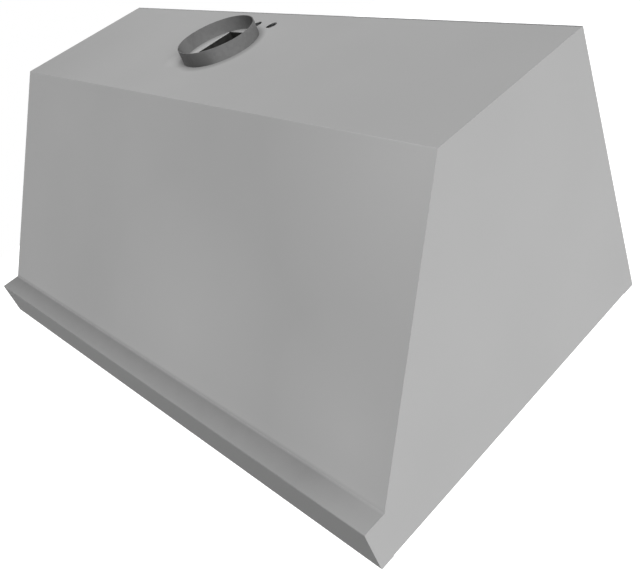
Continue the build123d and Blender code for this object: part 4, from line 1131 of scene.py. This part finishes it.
def head_screws(node, name, direction):
    """Sheet-metal screws in place of a node's plain ones; their heads point in the direction."""
    axis = max(range(3), key=lambda index: abs(direction[index]))
    screws = []
    for low, high in solids(node):
        seat = (low + high) / 2
        seat[axis] = low[axis] + SCREW_HEAD
        radius = (high[axis - 1] - low[axis - 1]) / 2
        length = high[axis] - seat[axis]
        screw = washer_screw(radius, radius * 1.4, SCREW_HEAD, radius / 2, length)
        screws.append((screw, facing(seat, direction)))
    piece = finish(gather(screws), name, "hood", FINISHES["bright"], 30)
    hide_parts(node)


def strap_screws():
    """Two screws that hold the capacitor's strap to the back panel."""
    low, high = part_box("capacitor_strap")
    seat_y = high.y - STRAP_SHEET
    screws = []
    for x in (low.x + STRAP_FOOT / 2, high.x - STRAP_FOOT / 2):
        seat = Vector((x, seat_y, (low.z + high.z) / 2))
        screw = washer_screw(STRAP_WASHER, STRAP_HEAD, SCREW_HEAD, STRAP_THREAD, STRAP_THREAD_LENGTH)
        screws.append((screw, facing(seat, (0, -1, 0))))
    finish(gather(screws), "strap_screws", "hood", FINISHES["bright"], 30)


def clamp_bolt():
    """Bolt and nut that pull the motor band's two ears together."""
    low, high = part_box("motor_bracket")
    middle = Vector((low.x + BAND_HALF, high.y - CLAMP_EAR / 2, centre_of("motor_shaft").z))
    upwards = Matrix.Translation(middle + Vector((0, 0, CLAMP_HALF)))
    downwards = facing(middle - Vector((0, 0, CLAMP_HALF)), (0, 0, -1))
    washer = [(0, 0), (BOLT_WASHER, 0), (BOLT_WASHER, BOLT_WASHER_SHEET), (0, BOLT_WASHER_SHEET)]
    parts = []
    for place in (upwards, downwards):
        parts.append((lathe(washer, 32), place))
        nut_place = place @ Matrix.Translation((0, 0, BOLT_WASHER_SHEET))
        parts.append((six_sided(BOLT_NUT, BOLT_NUT_HEIGHT, HEX_CORNER), nut_place))
    length = 2 * CLAMP_HALF + BOLT_PAST_BELOW + BOLT_PAST_ABOVE
    bottom = Matrix.Translation(middle - Vector((0, 0, CLAMP_HALF + BOLT_PAST_BELOW)))
    parts.append((threaded_rod(BOLT_RADIUS, STUD_PITCH, length), bottom))
    finish(gather(parts), "band_bolt", "hood", FINISHES["bright"], 30)


def inlet_rivets():
    """Rivets through the inlet rings' flanges, between the bracket's arms."""
    axis = centre_of("motor_shaft")
    rivets = []
    for side, direction in (("left", -1), ("right", 1)):
        low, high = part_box(f"{side}_inlet_ring")
        seat_x = low.x if direction < 0 else high.x
        radius = (high.y - low.y) / 2 - INLET_FLANGE / 2
        for arm in BRACKET_ARMS:
            for angle in (radians(arm - 30), radians(arm + 30)):
                seat = Vector((seat_x, axis.y + radius * cos(angle), axis.z + radius * sin(angle)))
                rivets.append((rivet(*INLET_RIVET), facing(seat, (direction, 0, 0))))
    finish(gather(rivets), "inlet_rivets", "hood", FINISHES["bright"], 30)


def frame_rivets(side):
    """A rivet through each lower corner of a filter's frame, facing down."""
    low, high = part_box(f"{side}_filter_frame")
    slope = Matrix.Translation(FILTER_HOOK) @ Matrix.Rotation(-FILTER_TILT, 4, "X")
    rivets = []
    for x in (low.x + FILTER_FLANGE / 2, high.x - FILTER_FLANGE / 2):
        for y in (-FILTER_FLANGE * 0.6, FILTER_FRONT_FLANGE / 2 - FILTER_LENGTH):
            seat = slope @ Matrix.Translation((x, y, 0)) @ Matrix.Rotation(radians(180), 4, "X")
            rivets.append((rivet(*FRAME_RIVET), seat))
    piece = f"{side}_frame_rivets"
    finish(gather(rivets), piece, f"{side}_filter", FINISHES["bright"], 30)


printed_dial("fan_knob", 4, "fan_dial")
printed_dial("light_knob", 3, "light_dial")
knob_pointer("fan_knob", "fan_control", "fan_knob_pointer")
knob_pointer("light_knob", "light_control", "light_knob_pointer")
for side in ("left", "right"):
    lamp_insides(side)
blower_fixings()
head_screws("motor_screws", "bracket_screws", (-1, 0, 0))
head_screws("junction_screws", "cover_screws", (0, 0, -1))
strap_screws()
clamp_bolt()
inlet_rivets()
for side in ("left", "middle", "right"):
    frame_rivets(side)


# Camera, world, floor and lamps

def camera_matrix():
    """Looks from the right of the front, down on the top, rolled as the photograph is."""
    back = Vector((
        sin(CAMERA_AZIMUTH) * cos(CAMERA_ELEVATION),
        -cos(CAMERA_AZIMUTH) * cos(CAMERA_ELEVATION),
        sin(CAMERA_ELEVATION),
    ))
    level = (-back).cross(Vector((0, 0, 1))).normalized()
    down = (-back).cross(level)
    right = level * cos(CAMERA_ROLL) + down * sin(CAMERA_ROLL)
    up = level * sin(CAMERA_ROLL) - down * cos(CAMERA_ROLL)
    matrix = Matrix((right, up, back)).transposed().to_4x4()
    matrix.translation = CAMERA_PLACE
    return matrix


def add_camera():
    data = bpy.data.cameras.new("camera")
    data.sensor_fit = "HORIZONTAL"
    data.sensor_width = CAMERA_SENSOR
    data.lens = CAMERA_LENS
    data.shift_x = CAMERA_SHIFT_X
    data.shift_y = CAMERA_SHIFT_Y
    data.clip_start = 0.01
    camera = bpy.data.objects.new("camera", data)
    camera.matrix_world = camera_matrix()
    bpy.context.scene.collection.objects.link(camera)
    bpy.context.scene.camera = camera


def seen_plainly(tree):
    """1 for rays from the camera, from glossy surfaces and through glass."""
    path = tree.nodes.new("ShaderNodeLightPath").outputs
    first = math_node(tree, "MAXIMUM", path["Is Camera Ray"], path["Is Glossy Ray"])
    return math_node(tree, "MAXIMUM", first, path["Is Transmission Ray"])


def add_world():
    world = bpy.data.worlds.new("studio")
    bpy.context.scene.world = world
    world.use_nodes = True
    tree = world.node_tree
    background = tree.nodes["Background"]
    background.inputs["Color"].default_value = (1, 1, 1, 1)
    strength = ramp(tree, seen_plainly(tree), 0.0, 1.0, AMBIENT, 1.0)
    tree.links.new(strength, background.inputs["Strength"])


def add_floor():
    """Pale floor under the hood that keeps its soft shadow."""
    shape = bmesh.new()
    bmesh.ops.create_grid(shape, x_segments=1, y_segments=1, size=FLOOR_SIZE / 2)
    shape.transform(Matrix.Translation((0, 0, cad_low[2] - FLOOR_DROP)))
    mesh = bpy.data.meshes.new("floor")
    shape.to_mesh(mesh)
    shape.free()
    floor = bpy.data.objects.new("floor", mesh)
    bpy.context.scene.collection.objects.link(floor)
    finish_ = Finish("floor_paper", grey(FLOOR_COLOR), 0.0, 0.9, Specular_IOR_Level=0.0)
    tree = finish_.tree
    length = tree.nodes.new("ShaderNodeVectorMath")
    length.operation = "LENGTH"
    tree.links.new(finish_.place, length.inputs[0])
    fade = ramp(tree, length.outputs["Value"], FLOOR_NEAR, FLOOR_FAR, FLOOR_LIFT, 1.0)
    lift = math_node(tree, "MULTIPLY", seen_plainly(tree), fade)
    finish_.shader.inputs["Emission Color"].default_value = (1, 1, 1, 1)
    tree.links.new(lift, finish_.shader.inputs["Emission Strength"])
    mesh.materials.append(finish_.material)


def add_key():
    """Broad soft light from high on the right, even over the whole hood."""
    data = bpy.data.lights.new("key_right", "SUN")
    data.angle = KEY_SOFTNESS
    data.energy = KEY_POWER
    lamp = bpy.data.objects.new("key_right", data)
    lamp.matrix_world = (-KEY_FROM).to_track_quat("-Z", "Y").to_matrix().to_4x4()
    bpy.context.scene.collection.objects.link(lamp)


def add_lamp(name, place, size, power):
    """Round soft lamp turned to the hood's middle, kept out of sight and out of bright metal."""
    data = bpy.data.lights.new(name, "AREA")
    data.shape = "DISK"
    data.size = size
    data.energy = power
    lamp = bpy.data.objects.new(name, data)
    direction = (Vector(cad_low) + Vector(cad_high)) / 2 - Vector(place)
    turn = direction.to_track_quat("-Z", "Y").to_matrix().to_4x4()
    lamp.matrix_world = Matrix.Translation(place) @ turn
    lamp.visible_camera = False
    lamp.visible_glossy = False
    bpy.context.scene.collection.objects.link(lamp)


add_camera()
add_world()
add_floor()
add_key()
for lamp_name, place, size, power in SOFT_LAMPS:
    add_lamp(lamp_name, place, size, power)
bpy.context.scene.view_settings.view_transform = "Standard"
